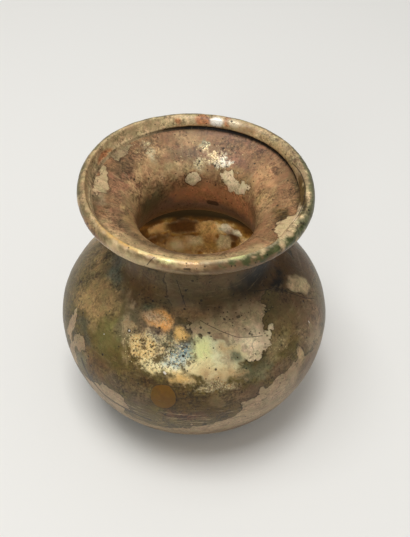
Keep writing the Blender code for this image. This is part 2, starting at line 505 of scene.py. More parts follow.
class Graph:
    """Adds shader nodes to one tree and links them."""

    def __init__(self, tree: bpy.types.NodeTree) -> None:
        """Keeps the tree that the nodes go in."""
        self.tree = tree

    def node(self, kind: str, inputs: dict | None = None, **settings) -> bpy.types.Node:
        """Adds one node.

        Args:
            kind: Its type's name.
            inputs: Socket names or numbers, each with a value or a socket to link from.
            **settings: The node's own properties.

        Returns:
            The new node.
        """
        made = self.tree.nodes.new(kind)
        for name, value in settings.items():
            setattr(made, name, value)
        self.fill(made, inputs or {})
        return made

    def fill(self, made: bpy.types.Node, inputs: dict) -> None:
        """Links each input to its socket, or gives it its value."""
        for name, value in inputs.items():
            if isinstance(value, Socket):
                self.tree.links.new(value, made.inputs[name])
            else:
                made.inputs[name].default_value = value

    def math(
        self, operation: str, first: Value, second: Value = 0.0, third: Value = 0.0, clamp: bool = False
    ) -> Socket:
        """Returns the result of one Math node."""
        inputs = {0: first, 1: second, 2: third}
        return self.node("ShaderNodeMath", inputs, operation=operation, use_clamp=clamp).outputs[0]

    def times(self, first: Value, second: Value) -> Socket:
        """Returns the product of two numbers."""
        return self.math("MULTIPLY", first, second)

    def vector(
        self, operation: str, first: Value, second: Value = (0.0, 0.0, 0.0), output: str = "Vector"
    ) -> Socket:
        """Returns the result of one Vector Math node."""
        return self.node("ShaderNodeVectorMath", {0: first, 1: second}, operation=operation).outputs[output]

    def scaled(self, vector: Value, scale: Value) -> Socket:
        """Returns a vector times a number."""
        return self.node("ShaderNodeVectorMath", {0: vector, "Scale": scale}, operation="SCALE").outputs[0]

    def mix(self, factor: Value, first: Value, second: Value, blend: str = "MIX") -> Socket:
        """Returns the mix of two colours."""
        inputs = {0: factor, 6: first, 7: second}
        made = self.node("ShaderNodeMix", inputs, data_type="RGBA", blend_type=blend, clamp_factor=True)
        return made.outputs[2]

    def blend(self, factor: Value, first: Value, second: Value) -> Socket:
        """Returns the mix of two numbers."""
        made = self.node("ShaderNodeMix", {0: factor, 2: first, 3: second}, data_type="FLOAT")
        return made.outputs[0]

    def noise(self, position: Value, scale: Value, detail: float = 4.0, roughness: float = 0.6) -> Socket:
        """Returns the value of a noise texture, around 0.5."""
        inputs = {"Vector": position, "Scale": scale, "Detail": detail, "Roughness": roughness}
        return self.node("ShaderNodeTexNoise", inputs).outputs["Fac"]

    def span(
        self, value: Value, low: Value, high: Value, to_low: Value = 0.0, to_high: Value = 1.0
    ) -> Socket:
        """Returns a value carried smoothly from one range to another, held at its ends."""
        inputs = {"Value": value, "From Min": low, "From Max": high, "To Min": to_low, "To Max": to_high}
        made = self.node("ShaderNodeMapRange", inputs, interpolation_type="SMOOTHSTEP")
        return made.outputs["Result"]

    def ramp(self, value: Value, stops: list[tuple[float, Colour]]) -> Socket:
        """Returns the colour that a value picks from a ramp."""
        made = self.node("ShaderNodeValToRGB", {"Fac": value})
        bar = made.color_ramp.elements
        while len(bar) < len(stops):
            bar.new(1.0)
        for element, (place, colour) in zip(bar, stops):
            element.position = place
            element.color = colour
        return made.outputs["Color"]

    def attribute(self, name: str, output: str = "Fac") -> Socket:
        """Returns what a named attribute of the mesh holds."""
        return self.node("ShaderNodeAttribute", None, attribute_name=name).outputs[output]

    def group(self, tree: bpy.types.NodeTree, inputs: dict) -> bpy.types.NodeOutputs:
        """Places a node group with its own values and returns its outputs."""
        return self.node("ShaderNodeGroup", inputs, node_tree=tree).outputs


def start_material(name: str) -> tuple[bpy.types.Material, Graph]:
    """Returns a new material with no nodes in it, and a Graph to add them with."""
    material = bpy.data.materials.new(name)
    material.use_nodes = True
    material.node_tree.nodes.clear()
    return material, Graph(material.node_tree)


def start_group(
    name: str, inputs: dict[str, str], outputs: dict[str, str]
) -> tuple[bpy.types.NodeTree, Graph, bpy.types.NodeOutputs, bpy.types.Node]:
    """Starts a shader node group.

    Args:
        name: The group's name.
        inputs: Each input's name and kind: Float, Color or Vector.
        outputs: The same for the outputs.

    Returns:
        Its tree, a Graph for it, its inputs' sockets and its output node.
    """
    tree = bpy.data.node_groups.new(name, "ShaderNodeTree")
    for direction_name, sockets in (("INPUT", inputs), ("OUTPUT", outputs)):
        for socket, kind in sockets.items():
            tree.interface.new_socket(name=socket, in_out=direction_name, socket_type=f"NodeSocket{kind}")
    graph = Graph(tree)
    return tree, graph, graph.node("NodeGroupInput").outputs, graph.node("NodeGroupOutput")


@dataclass
class WeatheringEffects:
    """The node groups that every finish of the jar shares."""

    groups: dict[str, bpy.types.NodeTree] = field(default_factory=dict)
    broad_scale: float = 0.2
    calm_scale: float = 0.13
    drift_scale: float = 0.35
    fine_share: float = 0.55
    broad_share: float = 0.45
    grain_swing: float = 5.0
    dark_grain: Colour = (0.42, 0.39, 0.36, 1.0)
    light_grain: Colour = (1.6, 1.58, 1.54, 1.0)
    warm_tint: Colour = (1.07, 0.97, 0.98, 1.0)
    green_tint: Colour = (0.95, 1.02, 0.95, 1.0)
    # Where the painted shadow outside a torn edge lies, and how wide it is.
    edge_shadow_offset: float = 0.16
    edge_shadow_reach: float = 0.26
    least_length: float = 0.0001

    def build(self) -> None:
        """Makes each group once."""
        self.groups["mottle"] = self.mottle()
        self.groups["ragged edge"] = self.ragged_edge()
        self.groups["pearl"] = self.pearl()
        self.groups["dots"] = self.dots()
        self.groups["streaks"] = self.streaks()
        self.groups["stroke"] = self.stroke()

    def mottle(self) -> bpy.types.NodeTree:
        """Breaks a colour into the light and dark grains of a corroded glass skin."""
        tree, graph, given, result = start_group(
            "mottled skin",
            {"Colour": "Color", "Position": "Vector", "Scale": "Float", "Grit": "Float"},
            {"Colour": "Color", "Height": "Float"},
        )
        fine = graph.noise(given["Position"], given["Scale"], 7.0, 0.72)
        broad = graph.noise(given["Position"], graph.times(given["Scale"], self.broad_scale), 5.0, 0.7)
        both = graph.math("ADD", graph.times(fine, self.fine_share), graph.times(broad, self.broad_share))
        calm = graph.noise(given["Position"], graph.times(given["Scale"], self.calm_scale), 2.0, 0.5)
        roughened = graph.times(given["Grit"], graph.span(calm, 0.36, 0.64, 0.3, 1.25))
        swing = graph.times(graph.math("SUBTRACT", both, 0.5), self.grain_swing)
        swing = graph.times(swing, roughened)
        share = graph.math("ADD", swing, 0.5, clamp=True)
        dark = graph.mix(1.0, given["Colour"], self.dark_grain, "MULTIPLY")
        light = graph.mix(1.0, given["Colour"], self.light_grain, "MULTIPLY")
        grained = graph.mix(share, dark, light)
        drift = graph.noise(given["Position"], graph.times(given["Scale"], self.drift_scale), 3.0, 0.6)
        tint = graph.ramp(drift, [(0.34, self.warm_tint), (0.66, self.green_tint)])
        graph.tree.links.new(graph.mix(1.0, grained, tint, "MULTIPLY"), result.inputs["Colour"])
        graph.tree.links.new(fine, result.inputs["Height"])
        return tree

    def ragged_edge(self) -> bpy.types.NodeTree:
        """Gives a patch's field a torn outline, and a painted shadow line just outside it."""
        tree, graph, given, result = start_group(
            "ragged edge",
            {"Field": "Float", "Position": "Vector", "Scale": "Float", "Spread": "Float", "Soft": "Float"},
            {"Mask": "Float", "Line": "Float"},
        )
        tear = graph.math("SUBTRACT", graph.noise(given["Position"], given["Scale"], 6.0, 0.66), 0.5)
        torn = graph.math("MULTIPLY_ADD", tear, given["Spread"], given["Field"])
        below = graph.times(given["Soft"], -1.0)
        graph.tree.links.new(graph.span(torn, below, given["Soft"]), result.inputs["Mask"])
        # Painted shadow: a dark band just outside the torn edge, such as a raised edge would cast.
        near = graph.math("ABSOLUTE", graph.math("ADD", torn, self.edge_shadow_offset))
        graph.tree.links.new(graph.span(near, self.edge_shadow_reach, 0.0), result.inputs["Line"])
        return tree

    @staticmethod
    def pearl() -> bpy.types.NodeTree:
        """Shifts a colour through the hues of thin flaked glass, with dark flecks and painted glints."""
        tree, graph, given, result = start_group(
            "pearl hues",
            {
                "Colour": "Color",
                "Position": "Vector",
                "Scale": "Float",
                "Amount": "Float",
                "Flecks": "Float",
            },
            {"Colour": "Color"},
        )
        hue = graph.noise(given["Position"], given["Scale"], 5.0, 0.7)
        stops = [
            (0.38, Shade.UMBER.value),
            (0.43, Shade.BLUE.value),
            (0.48, Shade.PEARL_GREEN.value),
            (0.53, Shade.WHITE.value),
            (0.58, Shade.GOLD.value),
            (0.64, Shade.PALE_ORANGE.value),
        ]
        colour = graph.mix(given["Amount"], given["Colour"], graph.ramp(hue, stops))
        # The white-gold flecks are painted glints; the umber and grime ones are dark specks.
        flecks = ((0.55, 0.53, Shade.UMBER), (1.7, 0.54, Shade.WHITE_GOLD), (1.2, 0.54, Shade.GRIME))
        for scale, low, shade in flecks:
            fleck = graph.noise(given["Position"], graph.times(given["Scale"], scale), 4.0, 0.66)
            share = graph.times(graph.span(fleck, low, 0.60), given["Flecks"])
            colour = graph.mix(share, colour, shade.value)
        graph.tree.links.new(colour, result.inputs["Colour"])
        return tree

    @staticmethod
    def dots() -> bpy.types.NodeTree:
        """Scatters small round dots."""
        tree, graph, given, result = start_group(
            "dots",
            {"Position": "Vector", "Scale": "Float", "Share": "Float", "Size": "Float"},
            {"Mask": "Float"},
        )
        cells = graph.node("ShaderNodeTexVoronoi", {"Vector": given["Position"], "Scale": given["Scale"]})
        pick = graph.node("ShaderNodeSeparateColor", {0: cells.outputs["Color"]}).outputs[0]
        chosen = graph.math("LESS_THAN", pick, given["Share"])
        near = graph.math("DIVIDE", cells.outputs["Distance"], given["Size"])
        dot = graph.span(near, 1.0, 0.6)
        graph.tree.links.new(graph.times(dot, chosen), result.inputs["Mask"])
        return tree

    @staticmethod
    def streaks() -> bpy.types.NodeTree:
        """Draws streaks in the skin, long in the directions that are stretched little."""
        tree, graph, given, result = start_group(
            "streaks",
            {"Position": "Vector", "Scale": "Float", "Stretch": "Vector"},
            {"Light": "Float", "Dark": "Float"},
        )
        stretched = graph.vector("MULTIPLY", given["Position"], given["Stretch"])
        lines = graph.noise(stretched, given["Scale"], 4.0, 0.7)
        graph.tree.links.new(graph.span(lines, 0.54, 0.72), result.inputs["Light"])
        graph.tree.links.new(graph.span(lines, 0.45, 0.30), result.inputs["Dark"])
        return tree

    def stroke(self) -> bpy.types.NodeTree:
        """Draws a straight stroke on the unrolled wall.

        The Unrolled vector holds azimuth in radians, run and radius in mm. Start and End hold
        azimuth and run, and 0.
        """
        tree, graph, given, result = start_group(
            "stroke",
            {"Unrolled": "Vector", "Start": "Vector", "End": "Vector", "Width": "Float"},
            {"Mask": "Float"},
        )

        parts = graph.node("ShaderNodeSeparateXYZ", {0: given["Unrolled"]}).outputs
        stretch = graph.node("ShaderNodeCombineXYZ", {0: parts[2], 1: 1.0, 2: 0.0}).outputs[0]
        offset = graph.vector("SUBTRACT", given["Unrolled"], given["Start"])
        offset = graph.vector("MULTIPLY", offset, stretch)
        line = graph.vector("SUBTRACT", given["End"], given["Start"])
        line = graph.vector("MULTIPLY", line, stretch)
        length = graph.math("MAXIMUM", graph.vector("DOT_PRODUCT", line, line, "Value"), self.least_length)
        share = graph.math("DIVIDE", graph.vector("DOT_PRODUCT", offset, line, "Value"), length, clamp=True)
        rest = graph.vector("SUBTRACT", offset, graph.scaled(line, share))
        gap = graph.vector("LENGTH", rest, output="Value")
        near = graph.math("DIVIDE", gap, given["Width"])
        graph.tree.links.new(graph.span(near, 1.25, 0.75), result.inputs["Mask"])
        return tree


@dataclass(frozen=True)
class WeatheredFinish:
    """One stretch of weathered glass: its crust, the sheets and flakes on it, and bare glass."""

    name: str
    sides: tuple[Side, ...]
    grain: float = 1500.0
    tear: float = 700.0
    sheet_spread: float = 1.6
    flake_tear: float = 1300.0
    flake_spread: float = 2.0
    sparkle_spread: float = 3.0
    pearl_amount: float = 0.08
    roughness: float = 0.36
    sheet_roughness: float = 0.42
    flake_roughness: float = 0.26
    flake_metal: float = 0.12
    gloss: float = 0.28
    vein_scale: float = 170.0
    relief: float = 0.45
    fibres: bool = False
    sheet_grit: float = 0.5
    # Strength of the painted shadow along the sheets' edges.
    sheet_edge_shadow: float = 0.5
    flake_soft: float = 0.8
    sparkle_pearl: float = 0.22
    hue_scale_share: float = 0.9
    glint_scale: float = 2600.0
    glint_share: float = 0.22
    glint_size: float = 0.36
    glint_cover: float = 0.7
    vein_edges: tuple[float, float] = (0.008, 0.002)
    vein_cover: float = 0.4
    pit_scale: float = 520.0
    pit_share: float = 0.22
    pit_size: float = 0.20
    fine_pit_scale: float = 1400.0
    fine_pit_share: float = 0.25
    fine_pit_size: float = 0.30
    pit_cover: float = 0.85
    bare_spread: float = 0.5
    bare_soft: float = 0.16
    # Strength of the painted shadow round the bare glass.
    bare_edge_shadow: float = 0.4
    bare_grain_share: float = 0.5
    bare_grit: float = 0.35
    grit_relief: float = 0.5
    sheet_relief: float = 0.3
    flake_relief: float = 0.2
    pit_relief: float = 0.5
    relief_depth: float = 0.3 * MM
    mark_cover: float = 0.72
    level_stretch: tuple[float, float, float] = (0.12, 0.12, 1.0)
    even_stretch: tuple[float, float, float] = (1.0, 1.0, 1.0)
    fibre_ring: float = 18.0 * MM
    fibre_rise: tuple[float, float, float] = (0.0, 0.0, 0.3)

    def build(self, effects: WeatheringEffects, surface: Surface, marks: list[Mark]) -> bpy.types.Material:
        """Makes the material.

        Args:
            effects: The shared node groups.
            surface: The unrolled wall, for the marks' places.
            marks: Every mark on the jar.

        Returns:
            The new material.
        """
        material, graph = start_material(self.name)
        groups = effects.groups
        position = graph.node("ShaderNodeTexCoord").outputs["Object"]
        grit, sparkle = graph.attribute("grit"), graph.attribute("sparkle")

        def grained(colour: Value, scale: float, amount: Value) -> bpy.types.NodeOutputs:
            """Returns a mottled colour's outputs."""
            inputs = {"Colour": colour, "Position": position, "Scale": scale, "Grit": amount}
            return graph.group(groups["mottle"], inputs)

        def edge(layer: Layer, scale: float, spread: Value, soft: float = 0.08) -> bpy.types.NodeOutputs:
            """Returns the outputs of a layer's torn mask."""
            inputs = {"Field": graph.attribute(layer.value), "Position": position, "Scale": scale}
            return graph.group(groups["ragged edge"], {**inputs, "Spread": spread, "Soft": soft})

        def dots(scale: float, share: Value, size: float) -> Socket:
            """Returns a scattering of dots."""
            inputs = {"Position": position, "Scale": scale, "Share": share, "Size": size}
            return graph.group(groups["dots"], inputs)["Mask"]

        skin = grained(graph.attribute("tone", "Color"), self.grain, grit)
        sheet = edge(Layer.SHEET, self.tear, self.sheet_spread)
        sheet_grit = graph.times(grit, self.sheet_grit)
        sheet_skin = grained(graph.attribute("sheet_shade", "Color"), self.grain, sheet_grit)
        # Painted shadow along the outer edge of each sheet of crust.
        colour = graph.mix(graph.times(sheet["Line"], self.sheet_edge_shadow), skin["Colour"], Shade.GRIME.value)
        colour = graph.mix(sheet["Mask"], colour, sheet_skin["Colour"])
        streak = graph.attribute("streak")
        lines = self.streaks(graph, groups["streaks"], position)
        colour = graph.mix(graph.times(lines["Dark"], streak), colour, Shade.UMBER.value)
        colour = graph.mix(graph.times(lines["Light"], streak), colour, Shade.PALE_TAN.value)
        flake_spread = graph.math("MULTIPLY_ADD", sparkle, self.sparkle_spread, self.flake_spread)
        flake = edge(Layer.FLAKE, self.flake_tear, flake_spread, self.flake_soft)
        amount = graph.math("MULTIPLY_ADD", sparkle, self.sparkle_pearl, self.pearl_amount, clamp=True)
        hues = graph.group(
            groups["pearl"],
            {
                "Colour": graph.attribute("flake_shade", "Color"),
                "Position": position,
                "Scale": self.grain * self.hue_scale_share,
                "Amount": amount,
                "Flecks": sparkle,
            },
        )["Colour"]
        colour = graph.mix(flake["Mask"], colour, hues)
        glints = dots(self.glint_scale, graph.times(sparkle, self.glint_share), self.glint_size)
        colour = graph.mix(graph.times(glints, self.glint_cover), colour, Shade.WHITE_GOLD.value)
        swell = graph.noise(position, self.vein_scale, 4.0, 0.62)
        vein = graph.math("ABSOLUTE", graph.math("SUBTRACT", swell, 0.5))
        veins = graph.times(graph.span(vein, *self.vein_edges), graph.times(grit, self.vein_cover))
        colour = graph.mix(veins, colour, Shade.GRIME.value)
        pits = dots(self.pit_scale, graph.times(graph.attribute("pitting"), self.pit_share), self.pit_size)
        fine_share = graph.times(graph.attribute("pitting"), self.fine_pit_share)
        pits = graph.math("MAXIMUM", pits, dots(self.fine_pit_scale, fine_share, self.fine_pit_size))
        colour = graph.mix(graph.times(pits, self.pit_cover), colour, Shade.GRIME.value)
        bare = edge(Layer.BARE, self.tear, self.bare_spread, self.bare_soft)
        # Painted shadow on the crust round the bare glass.
        colour = graph.mix(graph.times(bare["Line"], self.bare_edge_shadow), colour, Shade.GRIME.value)
        glass = grained(Shade.AMBER.value, self.grain * self.bare_grain_share, self.bare_grit)
        colour = graph.mix(bare["Mask"], colour, glass["Colour"])
        colour = self.draw_marks(graph, groups["stroke"], surface, marks, colour)
        rough = graph.blend(sheet["Mask"], self.roughness, self.sheet_roughness)
        rough = graph.blend(flake["Mask"], rough, self.flake_roughness)
        metal = graph.times(flake["Mask"], self.flake_metal)
        height = graph.times(skin["Height"], graph.times(grit, self.grit_relief))
        height = graph.math("MULTIPLY_ADD", sheet["Mask"], self.sheet_relief, height)
        height = graph.math("MULTIPLY_ADD", flake["Mask"], self.flake_relief, height)
        height = graph.math("SUBTRACT", height, graph.times(pits, self.pit_relief))
        inputs = {"Height": height, "Strength": self.relief, "Distance": self.relief_depth}
        bump = graph.node("ShaderNodeBump", inputs)
        shader = graph.node(
            "ShaderNodeBsdfPrincipled",
            {
                "Base Color": colour,
                "Roughness": rough,
                "Metallic": metal,
                "Specular IOR Level": self.gloss,
                "Normal": bump.outputs["Normal"],
            },
        )
        graph.node("ShaderNodeOutputMaterial", {"Surface": shader.outputs["BSDF"]})
        return material

    def streaks(self, graph: Graph, group: bpy.types.NodeTree, position: Value) -> bpy.types.NodeOutputs:
        """Draws level streaks, or fibres that run up and down the funnel.

        Args:
            graph: The material's nodes.
            group: The group that draws streaks.
            position: Where on the jar.

        Returns:
            The light and dark streaks' masks.
        """
        stretch = self.level_stretch
        if self.fibres:
            way = graph.vector("NORMALIZE", graph.vector("MULTIPLY", position, (1.0, 1.0, 0.0)))
            ring = graph.scaled(way, self.fibre_ring)
            position = graph.vector("ADD", ring, graph.vector("MULTIPLY", position, self.fibre_rise))
            stretch = self.even_stretch
        return graph.group(group, {"Position": position, "Scale": self.grain, "Stretch": stretch})

    def draw_marks(
        self, graph: Graph, stroke: bpy.types.NodeTree, surface: Surface, marks: list[Mark], colour: Socket
    ) -> Socket:
        """Draws this stretch's lines and dots over a colour.

        Args:
            graph: The material's nodes.
            stroke: The group that draws one straight stroke.
            surface: The unrolled wall.
            marks: Every mark on the jar.
            colour: The colour under them.

        Returns:
            The marked colour.
        """
        unrolled = graph.attribute("unrolled", "Vector")
        for light, ink in ((False, Shade.GRIME), (True, Shade.WHITE)):
            covered = None
            for mark in (mark for mark in marks if mark.side in self.sides and mark.light == light):
                places = mark.places if len(mark.places) > 1 else mark.places * 2
                ends = []
                for turn, height in places:
                    ends.append((math.radians(turn), surface.place(mark.side, height)[0], 0.0))
                for start, end in zip(ends, ends[1:]):
                    inputs = {"Unrolled": unrolled, "Start": start, "End": end, "Width": mark.width}
                    mask = graph.group(stroke, inputs)["Mask"]
                    covered = mask if covered is None else graph.math("MAXIMUM", covered, mask)
            if covered is not None:
                colour = graph.mix(graph.times(covered, self.mark_cover), colour, ink.value)
        return colour


@dataclass(frozen=True)
class AmberInside:
    """The ball's inner wall of honey-coloured crusted glass, with a painted glow for light through it."""

    name: str = "amber_inside"
    blotch: float = 130.0
    grain: float = 1100.0
    tear: float = 420.0
    tear_spread: float = 2.4
    tear_soft: float = 0.4
    grit: float = 0.6
    # The painted glow: emission in the wall's own colour, standing in for light that comes through the
    # glass.
    glow: float = 0.58
    roughness: float = 0.35
    # Heights over which the upper inside of the ball fades to near black, as painted shade.
    painted_shade_heights: tuple[float, float] = (25.0 * MM, 28.0 * MM)
    blotch_shift: tuple[float, float, float] = (0.0, 6.5 * MM, 3.0 * MM)

    def build(self, effects: WeatheringEffects) -> bpy.types.Material:
        """Makes the material from the shared node groups."""
        material, graph = start_material(self.name)
        position = graph.node("ShaderNodeTexCoord").outputs["Object"]
        stops = [
            (0.34, srgb(48, 28, 10)),
            (0.43, srgb(84, 54, 22)),
            (0.50, srgb(112, 76, 32)),
            (0.56, srgb(138, 104, 52)),
            (0.60, srgb(176, 146, 94)),
            (0.68, srgb(196, 172, 130)),
        ]
        shifted = graph.vector("ADD", position, self.blotch_shift)
        blotches = graph.ramp(graph.noise(shifted, self.blotch, 4.0, 0.55), stops)
        inputs = {"Field": graph.attribute(Layer.FLAKE.value), "Position": position, "Scale": self.tear}
        inputs = {**inputs, "Spread": self.tear_spread, "Soft": self.tear_soft}
        torn = graph.group(effects.groups["ragged edge"], inputs)
        patched = graph.mix(torn["Mask"], blotches, graph.attribute("flake_shade", "Color"))
        inputs = {"Colour": patched, "Position": position, "Scale": self.grain, "Grit": self.grit}
        colour = graph.group(effects.groups["mottle"], inputs)["Colour"]
        height = graph.node("ShaderNodeSeparateXYZ", {0: position}).outputs[2]
        # Painted shade: the ball's inside darkens toward the throat, where little light reaches.
        colour = graph.mix(graph.span(height, *self.painted_shade_heights), colour, Shade.SOOT.value)
        shader = graph.node(
            "ShaderNodeBsdfPrincipled",
            {
                "Base Color": colour,
                "Roughness": self.roughness,
                # Painted light: the wall glows in its own colour.
                "Emission Color": colour,
                "Emission Strength": self.glow,
            },
        )
        graph.node("ShaderNodeOutputMaterial", {"Surface": shader.outputs["BSDF"]})
        return material


EVERYDAY_TONES = {
    Side.INSIDE: Shade.FUNNEL_BROWN,
    Side.GROOVE: Shade.BUFF,
    Side.RIM: Shade.CREAM,
    Side.OUTSIDE: Shade.OLIVE,
}
EVERYDAY_STRENGTHS = {Layer.GRIT: 1.15, Layer.SPARKLE: 0.0, Layer.PITTING: 0.3, Layer.STREAK: 0.25}


def drawn(
    name: str, azimuth: float, height: float, shade: Shade, soft: float, stray: float, *outline: Place
) -> tuple:
    """Returns the row, for the function lay, of a patch that has an outline of its own."""
    sizes = (Patch.wide, Patch.tall)
    return name, azimuth, height, *sizes, shade, soft, stray, Patch.turn, Patch.strength, outline


def lay(layer: Layer, side: Side, *rows: tuple) -> list[Patch]:
    """Makes the patches of one layer on one side.

    Args:
        layer: What they are made of.
        side: The side that they lie on.
        *rows: For each, its name, azimuth, height, half width, half length, shade, softness, stray,
            turn and strength. Those at the end that are left out keep their usual values.

    Returns:
        The patches, the later ones over the earlier.
    """
    return [Patch(row[0], layer, side, *row[1:]) for row in rows]


def strengths(layer: Layer, side: Side, *rows: tuple) -> list[Patch]:
    """Makes the patches that set how strong an effect is on one side.

    Args:
        layer: The effect.
        side: The side that they lie on.
        *rows: For each, its name, azimuth, height, half width, half length, softness and strength.

    Returns:
        The patches, the later ones over the earlier.
    """
    return [Patch(row[0], layer, side, *row[1:5], soft=row[5], strength=row[6]) for row in rows]


def outside_tones() -> list[Patch]:
    """Lists the soft stains on the outer wall."""
    return lay(
        Layer.TONE,
        Side.OUTSIDE,
        ("back haze", 90, 38, 50, 14, Shade.OLIVE_TAN, 8),
        ("back tan cloud", 150, 37.0, 8, 4.5, Shade.TAN, 1.6, 1.4),
        ("back brown cloud", 112, 42.0, 9, 5.0, Shade.PURPLE_BROWN, 2.4, 1.4),
        ("back smoke cloud", 60, 44.0, 8, 4.0, Shade.SMOKE_GREY, 2.0, 1.4),
        ("back mauve cloud", 44, 34.0, 8, 5.0, Shade.MAUVE_GREY, 2.2, 1.4),
        ("back green cloud", 84, 31.0, 7, 4.5, Shade.GREEN_GOLD, 2.2, 1.2),
        ("back slate cloud", 128, 29.0, 6, 3.6, Shade.BLUE_SLATE, 1.8, 1.2),
        ("back low brown", 170, 24.0, 9, 5.0, Shade.MAUVE_SMOKE, 2.2, 1.4),
        # Painted shade: the neck and shoulder under the rolled rim are darkened, as the rim shades them from
        # above.
        ("dark neck", -90, 55, 90, 7, Shade.UMBER, 3),
        ("smoke under the rim", -114, 47.5, 12, 7.0, Shade.UMBER_GREY, 3, 0.8),
        ("smoke left of it", -137, 45.5, 6, 4, Shade.PURPLE_BROWN, 2.5, 1.0),
        ("olive shoulder", -172, 42, 9, 5, Shade.OLIVE_TAN, 3, 1.2),
        ("slate shoulder", -161, 43.2, 4.8, 1.7, Shade.BLUE_SLATE, 1.4, 1.0, 10),
        ("light flecks", 180, 41.4, 3.4, 1.6, Shade.TAN, 1.2, 1.4),
        drawn(
            "tan patch", -152, 38.5, Shade.TAN, 0.9, 1.1, (-167, 35.5), (-163, 38.0), (-164, 40.7),
            (-155, 42.1), (-147, 42.4), (-137, 42.0), (-132, 40.4), (-139, 38.0), (-150, 36.1),
            (-161, 35.2),
        ),
        ("tan foot", -144, 36.4, 2.6, 1.6, Shade.TAN, 0.9, 1.1),
        ("slate spots", -148, 34.6, 1.7, 2.2, Shade.SLATE, 0.9, 1.2),
        ("slate low spot", -140, 33.0, 1.3, 1.6, Shade.SLATE, 0.8, 1.0),
        ("green flank", -131, 37.0, 4.4, 5.0, Shade.GREEN_GOLD, 2.2, 1.0),
        ("grey olive flank", -125, 39.8, 3.0, 3.6, Shade.SMOKE_GREY, 1.8, 1.0),
        ("olive belly", -124, 33.0, 4.0, 3.6, Shade.OLIVE, 2.0, 1.0),
        ("pale streak", -126, 39.4, 0.5, 5.0, Shade.PALE_TAN, 0.8, 1.0, -33, 0.6),
        ("second pale streak", -120, 41.2, 0.4, 3.8, Shade.TAN, 0.8, 0.9, -33, 0.7),
        ("dark streak", -124, 40.4, 0.3, 5.0, Shade.UMBER, 0.5, 0.4, -27),
        ("olive streak", -118, 38.2, 0.6, 4.4, Shade.OLIVE_UMBER, 0.6, 0.5, -25),
        ("purple belly", -133, 29.0, 5.0, 3.2, Shade.PURPLE_BROWN, 2.0, 1.0),
        ("grey belly", -143, 27.0, 3.0, 3.2, Shade.SMOKE_GREY, 1.6, 1.2),
        ("lavender belly", -110, 27.2, 2.8, 3.4, Shade.LAVENDER, 1.6),
        ("lavender left belly", -121, 28.6, 2.6, 2.4, Shade.LAVENDER, 1.4, 1.0),
        ("brown left belly", -113, 31.5, 3.6, 3.2, Shade.UMBER_GREY, 1.6, 1.0),
        ("brown belly", -92, 28.6, 6.0, 3.8, Shade.DARK_AMBER, 1.8, 0.9),
        ("dark under the gold", -104, 32.4, 6.0, 1.2, Shade.UMBER, 1.0, 1.0),
        ("teal smudge", -118, 43.0, 1.8, 1.3, Shade.TEAL, 0.9, 0.8),
        ("mauve over the flakes", -107, 40.2, 6.0, 3.2, Shade.MAUVE_GREY, 1.4, 0.9),
        ("brown over the flakes", -98, 43.4, 4.6, 1.4, Shade.HONEY_BROWN, 1.2, 1.0),
        ("dark between the flakes", -99, 39.8, 4.4, 2.6, Shade.DEEP_TEAL, 0.9, 0.8),
        ("amber belly", -77, 27.0, 6.0, 4.2, Shade.DARK_AMBER, 2.0, 1.0),
        ("olive belly window", -77, 29.4, 3.0, 2.4, Shade.OLIVE_UMBER, 0.8, 0.8),
        ("mauve band", -65, 28.6, 5.2, 2.8, Shade.MAUVE, 1.4, 0.9),
        ("mauve band right", -51, 31.6, 4.2, 2.6, Shade.MAUVE, 1.2, 0.9),
        ("red brown foot", -92, 23.4, 5.0, 1.6, Shade.DARK_RED, 1.0, 1.0),
        ("mauve right side", -22, 34.5, 8.0, 6.0, Shade.MAUVE_GREY, 2.0, 1.0),
        ("brown right side", -24, 39.6, 4.4, 2.6, Shade.MAUVE_SMOKE, 1.4, 1.2),
        ("olive right shoulder", -36, 38.6, 4.4, 3.0, Shade.OLIVE_UMBER, 1.6, 1.0),
        ("grey right side", -26, 30.6, 3.4, 2.4, Shade.BUFF, 1.6, 1.4),
        ("slate green side", -61, 33.7, 4.6, 2.4, Shade.SLATE_GREEN, 1.0, 1.1),
        ("teal side", -64, 35.2, 2.0, 1.4, Shade.TEAL, 0.7, 0.9),
        ("gold speckled side", -49, 36.4, 3.4, 3.0, Shade.GREEN_GOLD_DARK, 1.2, 1.0),
        ("right edge", -2, 35.0, 4.0, 8.0, Shade.OLIVE_TAN, 2.0, 1.0),
    )


